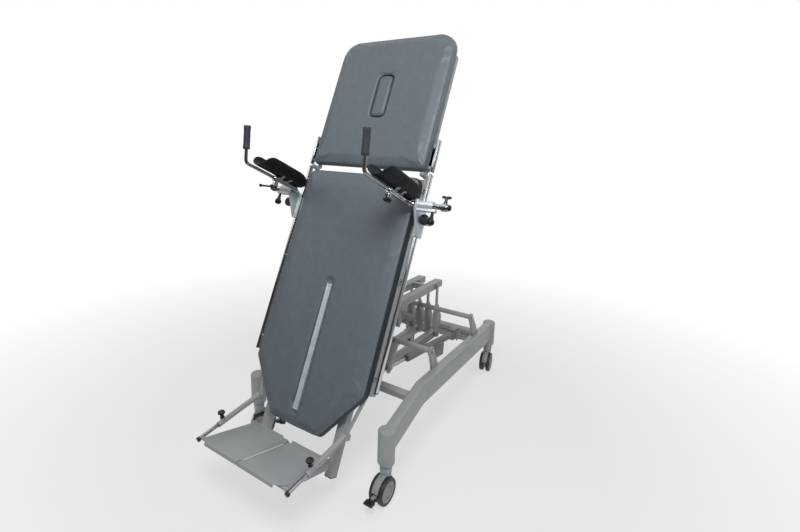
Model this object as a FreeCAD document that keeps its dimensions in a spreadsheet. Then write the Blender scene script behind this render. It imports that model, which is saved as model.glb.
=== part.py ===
import FreeCAD, Part
import Sketcher
import math
import os
import re

# Tilt table for physiotherapy on a castor base. Millimetres and degrees.
# X is the width, -Y the foot end that the footplates face, +Z is up. The origin is on the
# floor below the middle of the whole table.

SIZES = {
    # Base frame
    "base_back": 225,
    "beam_half_track": 357.5,
    "beam_taper": 3.86,
    "beam_width": 50,
    "beam_depth": 110,
    "beam_front_top": 336,
    "beam_kink_top": 410,
    "beam_kink_reach": 386,
    "beam_rear_top": 342,
    "beam_rear_low": 218,
    "castor_reach": 720,
    "housing_radius": 39,
    "housing_low": 174,
    "housing_top": 340,
    "housing_bevel": 12,
    "neck_radius": 27,
    "neck_low": 142,
    "front_cross_reach": 464,
    "front_cross_width": 47,
    "front_cross_height": 30,
    "front_cross_top": 382,
    "rear_cross_front": 596,
    "rear_cross_width": 80,
    "rear_cross_height": 38,
    "rear_cross_top": 252,
    "control_left": 50,
    "control_right": 270,
    "control_inset": 6,
    "control_height": 32,
    "control_bevel": 12,
    "socket_radius": 9,
    "socket_depth": 8,
    # Castors
    "wheel_radius": 62.5,
    "wheel_half_span": 33,
    "wheel_bevel": 4,
    "tyre_depth": 15,
    "disc_recess": 2.5,
    "hub_radius": 16,
    "axle_radius": 6,
    "web_half": 8.5,
    "web_radius": 43,
    "web_gap": 0.8,
    "fender_gap": 2.5,
    "fender_wall": 2.5,
    "fender_rise": 18,
    "hood_half": 16,
    "castor_trail": 24,
    "collar_radius": 25,
    "stem_radius": 14,
    "stem_top": 270,
    "castor_turn_front_right": 180,
    "castor_turn_front_left": -53.9,
    "castor_turn_rear_right": 190,
    "castor_turn_rear_left": 192.8,
    "pedal_pin_reach": 76,
    "pedal_pin_rise": 0,
    "pedal_pin_radius": 4,
    "pedal_cheek": 4,
    "pedal_cheek_half": 7,
    "pedal_half_width": 22,
    "pedal_length": 30,
    "pedal_wall": 10,
    "pedal_gap": 5,
    # Running gaps
    "pin_gap": 0.05,
    "seat_gap": 0.3,
    "side_gap": 1,
    # Lift linkage
    "front_pivot_reach": 213,
    "pivot_spacing": 559,
    "pivot_height": 500,
    "gusset_wall": 12,
    "front_gusset_side": 350,
    "rear_gusset_side": 326,
    "front_gusset_lean": 20,
    "rear_gusset_lean": 51,
    "gusset_foot": 88,
    "gusset_root": 28,
    "gusset_boss": 22,
    "bolt_radius": 6,
    "bolt_reach": 40,
    "bolt_head_radius": 11,
    "bolt_head_height": 8,
    "torsion_radius": 15,
    "arm_length": 150,
    "arm_width": 25,
    "lever_drop": 184,
    "lever_back": 23,
    "leaf_wall": 8,
    "leaf_top_half": 32,
    "leaf_wide_half": 60,
    "leaf_end_half": 19,
    "leaf_wide_share": 0.4,
    "lever_pin_radius": 10,
    "arm_pin_radius": 8,
    "rod_width": 40,
    "rod_height": 46,
    "spine_inner": 36,
    "spine_width": 50,
    "spine_height": 40,
    "spine_leaf_gap": 2,
    "spine_rear_reach": 426,
    "lift_cross_reach": 273,
    "lift_cross_half": 15,
    # Lift actuator
    "lift_side": 130,
    "lift_base_reach": 558,
    "lift_base_height": 270,
    "lift_lever_length": 160,
    "lift_lever_lean": 30,
    "lift_lever_width": 42,
    "lift_tube_length": 640,
    "lift_motor_from": 215,
    "lift_motor_length": 95,
    "lift_motor_height": 62,
    "lift_motor_half": 30,
    # Actuators in common
    "actuator_radius": 22,
    "actuator_half": 23,
    "actuator_nose": 26,
    "gearbox_from": 30,
    "gearbox_to": 62,
    "gearbox_half_depth": 34,
    "cheek_wall": 6,
    "cheek_half": 20,
    "trunnion_radius": 8,
    "trunnion_depth": 8,
    "rod_radius": 10,
    "eye_radius": 15,
    "eye_half": 11,
    "stud_radius": 10,
    "stud_height": 5,
    # Tilt actuator
    "tilt_base_drop": 140,
    "tilt_base_reach": 0,
    "tilt_tube_length": 424,
    "tilt_rod_reach": 292,
    "tilt_motor_from": 28,
    "tilt_motor_length": 180,
    "tilt_motor_offset": 40,
    "tilt_lug_up": 575,
    "tilt_lug_back": 112,
    # Tabletop frame
    "table_hinge_reach": 616,
    "table_hinge_up": 445,
    "table_hinge_back": 110,
    "table_lean": 25,
    "hinge_pin_radius": 10,
    "hinge_plate_wall": 8,
    "hinge_plate_half": 25,
    "side_tube_out": 340,
    "side_tube_width": 30,
    "side_tube_depth": 40,
    "side_tube_top": 1240,
    "side_tube_low": 244,
    "strap_half": 8,
    "strap_wall": 8,
    "cross_tube_depth": 25,
    "cross_tube_half": 20,
    "cross_leg_up": 165,
    "cross_low_up": 380,
    "cross_mid_up": 640,
    "cross_high_up": 980,
    # Cushions
    "cushion_half_width": 339.5,
    "cushion_length": 1245.5,
    "cushion_depth": 55.5,
    "cushion_cut_up": 237,
    "cushion_foot_half": 158,
    "cushion_corner": 45,
    "cushion_foot_corner": 18,
    "cushion_gap": 23,
    "head_half_width": 343,
    "head_length": 723.5,
    "head_top_corner": 110,
    "head_low_corner": 30,
    "plug_low_up": 1537,
    "plug_length": 228,
    "plug_half_width": 42,
    "plug_corner": 25,
    "slot_low_up": 77,
    "slot_length": 593,
    "slot_half_width": 15,
    "slot_front": 3,
    "slot_groove": 3,
    "slot_groove_half": 6,
    # Crown of a cushion: depth below the front face and drawing in at the edge
    "crown_one_depth": 1.2,
    "crown_two_depth": 3,
    "crown_three_depth": 7,
    "crown_four_depth": 14,
    "crown_five_depth": 46,
    "crown_face_in": 120,
    "crown_one_in": 40,
    "crown_two_in": 12,
    "crown_three_in": 3.5,
    "crown_five_in": 2,
    "crown_back_in": 8,
    "corner_keep_share": 0.35,
    # Rails
    "rail_inner": 360,
    "rail_wall": 10,
    "rail_front": 35,
    "rail_depth": 25,
    "rail_low_up": 267,
    "rail_high_up": 1260,
    "rail_stud_radius": 7,
    "rail_stud_low": 330,
    "rail_stud_mid": 760,
    "rail_stud_high": 1190,
    "rail_plate_wall": 4,
    "rail_plate_half": 16,
    "head_rail_low_up": 1276,
    "head_rail_high_up": 1434,
    "head_rail_stud_inset": 26,
    "head_stud_wall": 6,
    # Head section frame
    "head_hinge_back": 25,
    "ear_half": 9.5,
    "ear_wall": 8,
    "ear_space": 2,
    "ear_pin_radius": 5,
    "head_tube_out": 335,
    "head_tube_width": 30,
    "head_tube_gap": 28,
    "head_tube_high_up": 1880,
    "head_cross_low_up": 1345,
    "head_cross_high_up": 1862,
    "head_cross_half": 18,
    # Gas spring
    "gas_side": 150,
    "gas_low_up": 985,
    "gas_low_back": 135,
    "gas_high_up": 1345,
    "gas_high_back": 125,
    "gas_radius": 11,
    "gas_rod_radius": 5,
    "gas_tube_length": 210,
    "gas_rod_reach": 196,
    "gas_eye_radius": 12.5,
    "gas_cheek": 4,
    "gas_cheek_half": 13,
    "gas_pin_radius": 4,
    # Footrest
    "leg_side": 215,
    "leg_width": 38,
    "leg_depth": 45,
    "leg_low": 148,
    "leg_top": 395,
    "leg_cap": 4,
    "foot_hinge_low": 88,
    "foot_hinge_back": 48,
    "foot_hinge_radius": 8,
    "foot_lug_wall": 10,
    "foot_lug_half": 14,
    "foot_drop": 10,
    "plate_seam": 3,
    "plate_width": 240,
    "plate_rise": 20,
    "plate_wall": 3,
    "plate_rear": 27,
    "plate_front": 327.5,
    "plate_corner_wide": 36,
    "plate_corner_deep": 33,
    "plate_flange": 25,
    "plate_front_flange": 15,
    "plate_stop": 20,
    "plate_notch": 28,
    "knuckle_radius": 12,
    "knuckle_inner_from": 20,
    "knuckle_inner_to": 60,
    "knuckle_outer_from": 150,
    "knuckle_outer_to": 188,
    "knuckle_web": 45,
    "stub_radius": 8,
    "stub_from": 200,
    "stub_reach": 294,
    "stub_rise": 8,
    # Struts beside the footrest
    "strut_side": 270,
    "strut_up": 50,
    "strut_back": 40,
    "strut_radius": 12.5,
    "strut_tube_length": 244,
    "strut_inner_radius": 9,
    "strut_inner_hidden": 80,
    "strut_ear_wall": 5,
    "strut_ear_half": 12,
    "strut_pin_radius": 5,
    "strut_cap": 10,
    "strut_cap_radius": 11,
    "strut_boss_radius": 11,
    "strut_boss_height": 22,
    "strut_boss_inset": 28,
    "knob_stem_radius": 5,
    "ball_radius": 17,
    "ball_rise": 42,
    # Armrests
    "clamp_gap": 0.5,
    "clamp_wall": 12,
    "clamp_jaw": 6,
    "clamp_lip": 5,
    "clamp_lip_reach": 3,
    "clamp_low_drop": 132,
    "clamp_high_drop": 17,
    "clamp_nose_half": 21,
    "sleeve_back": -28,
    "sleeve_up": 1097,
    "sleeve_radius": 20,
    "sleeve_end": 455,
    "tongue_end": 470,
    "tongue_low": 28,
    "tongue_wall": 13,
    "tongue_half": 12,
    "disc_knob_side": 408,
    "disc_knob_drop": 57,
    "disc_knob_radius": 25,
    "disc_knob_height": 20,
    "disc_stem_radius": 6,
    "disc_boss_half": 16,
    "disc_boss_front": 14,
    "disc_boss_rear": 52,
    "mushroom_side": 457,
    "mushroom_radius": 18,
    "mushroom_drop": 32,
    "mushroom_height": 26,
    "tee_side": 505,
    "tee_collar_half": 12,
    "tee_collar_radius": 18,
    "tee_rise": 46,
    "tee_half": 22,
    "tee_bar_radius": 5,
    "arm_side": 333,
    "arm_end": 530,
    "arm_cap": 5,
    "arm_cap_radius": 14,
    "arm_radius": 12.5,
    "arm_bend": 37,
    "arm_nose": -222,
    "arm_bore_end": -74,
    "lock_collar_length": 28,
    "lock_collar_radius": 14.5,
    "lock_boss_radius": 9,
    "lock_boss_drop": 34,
    "lock_disc_radius": 20,
    "lock_disc_height": 16,
    "lock_lever_length": 90,
    "lock_lever_turn_right": -62,
    "lock_lever_turn_left": 180,
    "lock_lever_radius": 6,
    "lock_lever_ball": 9,
    "gutter_radius": 55,
    "gutter_wall": 5,
    "gutter_front": -351,
    "gutter_rear": -25,
    "gutter_rise": 15,
    "gutter_depth": 64,
    "saddle_front": -190,
    "saddle_rear": -110,
    "saddle_half": 14,
    "grip_rod_radius": 8,
    "grip_rod_rear": -122,
    "grip_rod_front": -416,
    "grip_lean": 19,
    "grip_from": 62,
    "grip_length": 107,
    "grip_radius": 16.5,
    "grip_rim": 3,
    # One overrun for every cut
    "overrun": 20,
}

Vector = FreeCAD.Vector
TURNS = {"x": (Vector(0, 1, 0), 90), "y": (Vector(1, 0, 0), -90), "z": (Vector(0, 0, 1), 0)}
PLANES = {"YZ": 1, "XZ": -1, "XY": 1}

doc = FreeCAD.newDocument("TiltTable")
sheet = doc.addObject("Spreadsheet::Sheet", "Sizes")
for row, (alias, value) in enumerate(SIZES.items(), 1):
    sheet.set(f"A{row}", alias)
    sheet.set(f"B{row}", str(value))
    sheet.setAlias(f"B{row}", alias)
doc.recompute()

nodes = []


def formula(text):
    """Name the sheet before every size in an expression."""
    return re.sub(r"[a-z][a-z_]+",
                  lambda m: "Sizes." + m.group(0) if m.group(0) in SIZES else m.group(0), text)


def bind(obj, prop, text):
    obj.setExpression(prop, formula(text))


def size(alias):
    return float(sheet.get(alias))


# Building blocks

def block(name, x, y, z):
    """Box from a low to a high expression on each axis."""
    obj = doc.addObject("Part::Box", name)
    for prop, axis, (low, high) in zip(("Length", "Width", "Height"), "xyz", (x, y, z)):
        bind(obj, prop, f"({high}) - ({low})")
        bind(obj, f"Placement.Base.{axis}", low)
    return obj


def bar(name, axis, at, radius, low, high):
    """Round bar along an axis, at two expressions on the other axes."""
    obj = doc.addObject("Part::Cylinder", name)
    obj.Placement = FreeCAD.Placement(Vector(), FreeCAD.Rotation(*TURNS[axis]))
    bind(obj, "Radius", radius)
    bind(obj, "Height", f"({high}) - ({low})")
    places = dict(zip([a for a in "xyz" if a != axis], at))
    places[axis] = low
    for direction, text in places.items():
        bind(obj, f"Placement.Base.{direction}", text)
    return obj


def ball(name, at, radius):
    obj = doc.addObject("Part::Sphere", name)
    bind(obj, "Radius", radius)
    for direction, text in zip("xyz", at):
        bind(obj, f"Placement.Base.{direction}", text)
    return obj


def cone(name, at, low_radius, high_radius, low, high):
    """Upright cone."""
    obj = doc.addObject("Part::Cone", name)
    bind(obj, "Radius1", low_radius)
    bind(obj, "Radius2", high_radius)
    bind(obj, "Height", f"({high}) - ({low})")
    for direction, text in zip("xyz", (*at, low)):
        bind(obj, f"Placement.Base.{direction}", text)
    return obj


def sketch(body, plane, points, offset):
    """Closed outline on an origin plane with every corner held by two sizes."""
    support = next(o for o in body.Origin.OriginFeatures if o.Role == plane + "_Plane")
    profile = body.newObject("Sketcher::SketchObject", body.Name + "Sketch")
    profile.AttachmentSupport = [(support, "")]
    profile.MapMode = "FlatFace"
    if offset:
        bind(profile, "AttachmentOffset.Base.z", offset)
    spread = 2 * math.pi / len(points)
    start = [Vector(math.cos(spread * i), math.sin(spread * i), 0) for i in range(len(points))]
    lines = [profile.addGeometry(Part.LineSegment(start[i - 1], start[i]))
             for i in range(len(points))]
    for i, line in enumerate(lines):
        profile.addConstraint(Sketcher.Constraint("Coincident", lines[i - 1], 2, line, 1))
    for i, corner in enumerate(points):
        for kind, text, value in zip(("DistanceX", "DistanceY"), corner, start[i]):
            held = profile.addConstraint(Sketcher.Constraint(kind, -1, 1, lines[i], 2, value))
            bind(profile, f"Constraints[{held}]", text)
    return profile


def outline(name, plane, points, low, high):
    """Flat piece: an outline padded from a low to a high expression across its plane."""
    body = doc.addObject("PartDesign::Body", name)
    offset = low if PLANES[plane] > 0 else f"-({high})"
    profile = sketch(body, plane, points, offset)
    pad = body.newObject("PartDesign::Pad", name + "Pad")
    pad.Profile = profile
    bind(pad, "Length", f"({high}) - ({low})")
    return body


def turned(name, axis, points):
    """Turned piece: half outline (along, radius) revolved about an axis."""
    body = doc.addObject("PartDesign::Body", name)
    plane = {"x": "XY", "y": "XY", "z": "XZ"}[axis]
    corners = points if axis == "x" else [(radius, along) for along, radius in points]
    profile = sketch(body, plane, corners, "")
    turn = body.newObject("PartDesign::Revolution", name + "Turn")
    turn.Profile = profile
    turn.ReferenceAxis = (profile, ["H_Axis" if axis == "x" else "V_Axis"])
    turn.Angle = 360
    return body


def fuse(name, parts):
    obj = doc.addObject("Part::MultiFuse", name)
    obj.Shapes = parts
    obj.Refine = True
    return obj


def cut(name, base, tools):
    obj = doc.addObject("Part::Cut", name)
    obj.Base = base
    obj.Tool = tools[0] if len(tools) == 1 else fuse(name + "Tools", tools)
    obj.Refine = True
    return obj


def common(name, parts):
    obj = doc.addObject("Part::MultiCommon", name)
    obj.Shapes = parts
    return obj


def turn_about(obj, axis, angle):
    """Turn a piece about one of its own axes by an expression."""
    direction = {"x": Vector(1, 0, 0), "z": Vector(0, 0, 1)}[axis]
    base = obj.Placement.Base
    obj.Placement = FreeCAD.Placement(base, FreeCAD.Rotation(direction, 1))
    bind(obj, "Placement.Rotation.Angle", angle)


def move(obj, x="0", y="0", z="0"):
    for direction, text in zip("xyz", (x, y, z)):
        bind(obj, f"Placement.Base.{direction}", text)


def node(label, obj):
    obj.Label = label
    nodes.append(obj)
    return obj


# Frames of reference

TABLE_Y = ("(-table_hinge_reach - table_hinge_back * cos(table_lean)"
           " - table_hinge_up * sin(table_lean))")
SPINE_Z = "(pivot_height + arm_length)"
TILT_BASE_Z = f"({SPINE_Z} - tilt_base_drop)"
TABLE_Z = (f"({SPINE_Z} + table_hinge_back * sin(table_lean)"
           " - table_hinge_up * cos(table_lean))")


def on_base(label, obj):
    """A piece drawn about the middle of the base, on the floor."""
    move(obj, y="base_back")
    return node(label, obj)


def table_point(back, up):
    """Place of a point given behind the cushion face and up along the table."""
    y = f"{TABLE_Y} + ({back}) * cos(table_lean) + ({up}) * sin(table_lean)"
    z = f"{TABLE_Z} - ({back}) * sin(table_lean) + ({up}) * cos(table_lean)"
    return y, z


def on_table(label, obj, back="0", up="0", turn="0"):
    """A piece drawn with y behind the cushion face and z up along the table."""
    y, z = table_point(back, up)
    turn_about(obj, "x", f"({turn}) - table_lean" if turn != "0" else "-table_lean")
    move(obj, y=f"base_back + {y}", z=z)
    return node(label, obj)


def mirrored(label, source):
    """The same piece on the left side."""
    obj = doc.addObject("Part::Mirroring", label.title().replace("_", ""))
    obj.Source = source
    obj.Normal = Vector(1, 0, 0)
    return node(label, obj)


# Base

def beam(side):
    """Side beam that rises from the front housing to a kink and falls to the rear."""
    name = "Beam" + ("Right" if side > 0 else "Left")
    body = outline(name, "YZ", [
        ("-castor_reach", "beam_front_top - beam_depth"),
        ("-castor_reach", "beam_front_top"),
        ("-beam_kink_reach", "beam_kink_top"),
        ("castor_reach", "beam_rear_top"),
        ("castor_reach", "beam_rear_low"),
        ("-beam_kink_reach", "beam_kink_top - beam_depth")],
        "-beam_width / 2", "beam_width / 2")
    turn_about(body, "z", f"{side} * beam_taper")
    move(body, x=f"{side} * beam_half_track")
    return body


def castor_place(side, end):
    x = f"{side} * (beam_half_track - {end} * castor_reach * sin(beam_taper))"
    return x, f"{end} * castor_reach * cos(beam_taper)"


def gusset(name, side, pivot, plate, lean):
    """Slanted triangular plate on the beam, with the bolt of a lift pivot."""
    low, high = f"{plate} - gusset_wall / 2", f"{plate} + gusset_wall / 2"
    if side < 0:
        low, high = f"-({high})", f"-({low})"
    root = "beam_rear_top"
    flat = outline(name + "Plate", "YZ", [
        (f"{pivot} - gusset_boss", "pivot_height"),
        (f"{pivot} + {lean}", root),
        (f"{pivot} + {lean} + gusset_foot", root),
        (f"{pivot} + gusset_boss", "pivot_height")], low, high)
    boss = bar(name + "Boss", "x", (pivot, "pivot_height"), "gusset_boss", low, high)
    inner, outer = (low, high) if side > 0 else (high, low)
    tip = f"{inner} - {side} * bolt_reach"
    ends = (tip, outer) if side > 0 else (outer, tip)
    bolt = bar(name + "Bolt", "x", (pivot, "pivot_height"), "bolt_radius", *ends)
    crown = f"{outer} + {side} * bolt_head_height"
    head = doc.addObject("Part::Prism", name + "Head")
    head.Polygon = 6
    head.Placement = FreeCAD.Placement(Vector(), FreeCAD.Rotation(*TURNS["x"]))
    bind(head, "Circumradius", "bolt_head_radius")
    bind(head, "Height", "bolt_head_height")
    move(head, x=outer if side > 0 else crown, y=pivot, z="pivot_height")
    return [flat, boss, bolt, head]


FRONT_PIVOT = "(-front_pivot_reach)"
REAR_PIVOT = "(pivot_spacing - front_pivot_reach)"


def base_beam(side, body):
    word = "Right" if side > 0 else "Left"
    solids = [body]
    bores = []
    for end, tag in ((-1, "Front"), (1, "Rear")):
        at = castor_place(side, end)
        name = f"Housing{tag}{word}"
        solids += [
            bar(name, "z", at, "housing_radius", "housing_low + housing_bevel", "housing_top"),
            cone(name + "Foot", at, "neck_radius", "housing_radius",
                 "housing_low", "housing_low + housing_bevel"),
            cone(name + "Cap", at, "housing_radius", "housing_radius - housing_bevel / 2",
                 "housing_top", "housing_top + housing_bevel / 2"),
            bar(name + "Neck", "z", at, "neck_radius", "neck_low",
                "housing_low + housing_bevel")]
        bores.append(bar(name + "Bore", "z", at, "stem_radius + pin_gap",
                         "neck_low - overrun", "stem_top + pin_gap"))
    for tag, pivot in (("front", FRONT_PIVOT), ("rear", REAR_PIVOT)):
        solids += gusset(f"Gusset{tag.title()}{word}", side, pivot,
                         f"{tag}_gusset_side", f"{tag}_gusset_lean")
    whole = cut("BaseBeam" + word, fuse("BaseBeamSolid" + word, solids), bores)
    on_base("base_beam_" + word.lower(), whole)


def cross_members(beams):
    """Cross tubes cut to the inner faces of the two beams."""
    span = "(beam_half_track + front_cross_reach * tan(beam_taper))"
    front = block("FrontCrossBar", (f"-{span}", span),
                  ("-front_cross_reach - front_cross_width / 2",
                   "-front_cross_reach + front_cross_width / 2"),
                  ("front_cross_top - front_cross_height", "front_cross_top"))
    on_base("front_cross_tube", cut("FrontCross", front, beams))
    span = "(beam_half_track - rear_cross_front * tan(beam_taper) - beam_width / 4)"
    rear = block("RearCrossBar", (f"-{span}", span),
                 ("rear_cross_front", "rear_cross_front + rear_cross_width"),
                 ("rear_cross_top - rear_cross_height", "rear_cross_top"))
    body = cut("RearCrossCut", rear, beams)
    solids = [body]
    low = "lift_base_height - cheek_half - actuator_half"
    for sign, tag in ((-1, "Inner"), (1, "Outer")):
        near = f"lift_side + {sign} * (actuator_half + side_gap)"
        far = f"lift_side + {sign} * (actuator_half + side_gap + cheek_wall)"
        pin = f"lift_side + {sign} * (actuator_half - trunnion_depth)"
        xs = (far, near) if sign < 0 else (near, far)
        solids.append(block(f"LiftCheek{tag}", xs,
                            ("lift_base_reach - cheek_half", "rear_cross_front + cheek_wall"),
                            (low, "lift_base_height + cheek_half")))
        solids.append(bar(f"LiftTrunnion{tag}", "x", ("lift_base_reach", "lift_base_height"),
                          "trunnion_radius", *((far, pin) if sign < 0 else (pin, far))))
    on_base("rear_cross_member", fuse("RearCross", solids))


def control_box():
    """Cover with sloped ends on the rear cross member and a mains inlet at its back."""
    top = "rear_cross_top + control_height"
    body = outline("ControlCover", "XZ", [
        ("-control_left", "rear_cross_top"),
        ("control_right", "rear_cross_top"),
        ("control_right", f"{top} - control_bevel"),
        ("control_right - control_bevel", top),
        ("-control_left + control_bevel", top),
        ("-control_left", f"{top} - control_bevel")],
        "rear_cross_front + control_inset + cheek_wall",
        "rear_cross_front + rear_cross_width - control_inset")
    socket = bar("InletBore", "y", ("control_left", "rear_cross_top + control_height / 2"),
                 "socket_radius",
                 "rear_cross_front + rear_cross_width - control_inset - socket_depth",
                 "rear_cross_front + rear_cross_width + overrun")
    on_base("control_box", cut("ControlBox", body, [socket]))


# Castors, drawn with the swivel axis upright at the origin and the axle at +Y

def castor_hood(name, pedal):
    axle = ("castor_trail", "wheel_radius")
    half = "hood_half"
    inner = "(wheel_radius + fender_gap)"
    outer = f"({inner} + fender_wall)"
    dome = bar(name + "Dome", "x", axle, outer, f"-{half}", half)
    collar = bar(name + "Collar", "z", ("0", "0"), "collar_radius",
                 "wheel_radius + fender_rise", "neck_low - seat_gap")
    hollow = bar(name + "Hollow", "x", axle, inner, f"-{half} - overrun", f"{half} + overrun")
    shell = cut(name + "Shell", fuse(name + "DomeCollar", [dome, collar]), [hollow])
    above = block(name + "Above", (f"-{half} - overrun", f"{half} + overrun"),
                  (f"castor_trail - {outer} - overrun", f"castor_trail + {outer} + overrun"),
                  ("wheel_radius + fender_rise", "neck_low + overrun"))
    cap = common(name + "Cap", [shell, above])
    web = [bar(name + "Web", "x", axle, "web_radius", "-web_half", "web_half"),
           block(name + "Rib", ("-web_half", "web_half"),
                 ("castor_trail - web_radius / 2", "castor_trail + web_radius / 2"),
                 ("wheel_radius", f"wheel_radius + {inner} + fender_wall / 2")),
           bar(name + "Stem", "z", ("0", "0"), "stem_radius",
               "neck_low - seat_gap - fender_wall", "stem_top")]
    bores = [bar(name + "AxleBore", "x", axle, "axle_radius + pin_gap",
                 "-web_half - overrun", "web_half + overrun")]
    if pedal:
        web.append(block(name + "Lug", ("-web_half", "web_half"),
                         ("castor_trail + web_radius / 2",
                          "castor_trail + pedal_pin_reach + pedal_cheek_half"),
                         ("wheel_radius + pedal_pin_rise - pedal_cheek_half",
                          "wheel_radius + pedal_pin_rise + pedal_cheek_half")))
        bores.append(bar(name + "PedalBore", "x",
                         ("castor_trail + pedal_pin_reach", "wheel_radius + pedal_pin_rise"),
                         "pedal_pin_radius + pin_gap", "-web_half - overrun",
                         "web_half + overrun"))
    return cut(name, fuse(name + "Solid", [cap] + web), bores)


def castor_wheels(name):
    """Two wheels turned in one piece with their axle."""
    half = "wheel_half_span"
    near = "(web_half + web_gap)"
    edge = [(near, "axle_radius"),
            (near, "wheel_radius - wheel_bevel"),
            (f"{near} + wheel_bevel", "wheel_radius"),
            (f"{half} - wheel_bevel", "wheel_radius"),
            (half, "wheel_radius - wheel_bevel"),
            (half, "wheel_radius - tyre_depth"),
            (f"{half} - disc_recess", "wheel_radius - tyre_depth - disc_recess"),
            (f"{half} - disc_recess", "hub_radius + disc_recess"),
            (half, "hub_radius"),
            (half, "0")]
    other = [(f"-({along})", radius) for along, radius in reversed(edge)]
    return turned(name, "x", other + edge)


def brake_pedal(name):
    pin = ("castor_trail + pedal_pin_reach", "wheel_radius + pedal_pin_rise")
    near = "(web_half + side_gap / 2)"
    far = f"({near} + pedal_cheek)"
    solids = [bar(name + "Pin", "x", pin, "pedal_pin_radius", f"-{far}", far)]
    for sign, tag in ((-1, "Left"), (1, "Right")):
        xs = (f"-{far}", f"-{near}") if sign < 0 else (near, far)
        solids.append(bar(f"{name}Eye{tag}", "x", pin, "pedal_cheek_half", *xs))
        solids.append(block(f"{name}Cheek{tag}", xs,
                            (pin[0], f"{pin[0]} + pedal_cheek_half + pedal_length / 2"),
                            (f"{pin[1]} - pedal_cheek_half", f"{pin[1]} + pedal_cheek_half")))
    front = f"{pin[0]} + pedal_cheek_half + pedal_gap"
    solids.append(block(name + "Tread", ("-pedal_half_width", "pedal_half_width"),
                        (front, f"{front} + pedal_length"),
                        (f"{pin[1]} - pedal_cheek_half",
                         f"{pin[1]} - pedal_cheek_half + pedal_wall")))
    return fuse(name, solids)


def seat_castor(label, obj, side, end, turn):
    x, y = castor_place(side, end)
    turn_about(obj, "z", turn)
    move(obj, x=x, y=f"base_back + {y}")
    node(label, obj)


def castors():
    for side, end, tag in ((1, -1, "front_right"), (-1, -1, "front_left"),
                           (1, 1, "rear_right"), (-1, 1, "rear_left")):
        name = tag.title().replace("_", "")
        turn = "castor_turn_" + tag
        hood = castor_hood("Hood" + name, end < 0)
        seat_castor("castor_hood_" + tag, hood, side, end, turn)
        wheels = castor_wheels("Wheels" + name)
        # The wheels are drawn about their axle, so their place is turned out to it
        turn_about(wheels, "z", turn)
        x, y = castor_place(side, end)
        move(wheels, x=f"{x} - castor_trail * sin({turn})",
             y=f"base_back + {y} + castor_trail * cos({turn})", z="wheel_radius")
        node("castor_wheels_" + tag, wheels)
        if end < 0:
            pedal = brake_pedal("Pedal" + name)
            seat_castor("brake_pedal_" + tag, pedal, side, end, turn)


# Lift linkage

LEAF_INNER = ("(spine_inner - spine_leaf_gap - leaf_wall)", "(spine_inner - spine_leaf_gap)")
LEAF_OUTER = ("(spine_inner + spine_width + spine_leaf_gap)",
              "(spine_inner + spine_width + spine_leaf_gap + leaf_wall)")


def on_side(side, span):
    low, high = span
    return (low, high) if side > 0 else (f"-{high}", f"-{low}")


def leaf(name, pivot, side, span):
    """Plate with a slim arm above its pivot and a broad tapering lever below it."""
    share = "leaf_wide_share"
    wide = f"{pivot} + lever_back * {share}"
    end = f"{pivot} + lever_back"
    depth = "pivot_height - lever_drop"
    xs = on_side(side, span)
    return [
        outline(name + "Lever", "YZ", [
            (f"{pivot} - leaf_top_half", "pivot_height"),
            (f"{wide} - leaf_wide_half", f"pivot_height - lever_drop * {share}"),
            (f"{end} - leaf_end_half", depth),
            (f"{end} + leaf_end_half", depth),
            (f"{wide} + leaf_wide_half", f"pivot_height - lever_drop * {share}"),
            (f"{pivot} + leaf_top_half", "pivot_height")], *xs),
        bar(name + "Top", "x", (pivot, "pivot_height"), "leaf_top_half", *xs),
        bar(name + "End", "x", (end, depth), "leaf_end_half", *xs),
        block(name + "Arm", xs, (f"{pivot} - arm_width / 2", f"{pivot} + arm_width / 2"),
              ("pivot_height", f"{SPINE_Z}")),
        bar(name + "Eye", "x", (pivot, SPINE_Z), "arm_width / 2 + leaf_wall / 2", *xs)]


def crank(name, pivot, plate):
    half = f"({plate} - gusset_wall / 2 - seat_gap)"
    solids = [bar(name + "Tube", "x", (pivot, "pivot_height"), "torsion_radius",
                  f"-{half}", half)]
    bores = []
    for side, word in ((-1, "Left"), (1, "Right")):
        for span, tag in ((LEAF_INNER, "Inner"), (LEAF_OUTER, "Outer")):
            solids += leaf(f"{name}{tag}{word}", pivot, side, span)
        pin = on_side(side, (LEAF_INNER[0], LEAF_OUTER[1]))
        solids.append(bar(f"{name}ArmPin{word}", "x", (pivot, SPINE_Z), "arm_pin_radius", *pin))
        bore = on_side(side, (f"({half} - bolt_reach)", f"({half} + overrun)"))
        bores.append(bar(f"{name}Bore{word}", "x", (pivot, "pivot_height"),
                         "bolt_radius + pin_gap", *bore))
    solids.append(bar(name + "Shaft", "x",
                      (f"{pivot} + lever_back", "pivot_height - lever_drop"),
                      "lever_pin_radius", f"-{LEAF_OUTER[1]}", LEAF_OUTER[1]))
    return solids, bores


def lift_lever():
    """Two cheeks below the front torsion tube that the lift actuator pushes."""
    solids = []
    length = "lift_lever_length"
    for sign, tag in ((-1, "Inner"), (1, "Outer")):
        near = f"lift_side + {sign} * (eye_half + side_gap)"
        far = f"lift_side + {sign} * (eye_half + side_gap + cheek_wall)"
        stud = f"lift_side + {sign} * (eye_half + side_gap + cheek_wall + stud_height)"
        xs = (far, near) if sign < 0 else (near, far)
        ends = (stud, far) if sign < 0 else (far, stud)
        solids += [
            block("LiftLever" + tag, xs, ("-lift_lever_width / 2", "lift_lever_width / 2"),
                  (f"-{length}", "0")),
            bar(f"LiftLever{tag}End", "x", ("0", f"-{length}"), "lift_lever_width / 2", *xs),
            bar(f"LiftLever{tag}Stud", "x", ("0", f"-{length}"), "stud_radius", *ends)]
    lever = fuse("LiftLever", solids)
    turn_about(lever, "x", "-lift_lever_lean")
    move(lever, y=FRONT_PIVOT, z="pivot_height")
    return lever


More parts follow.
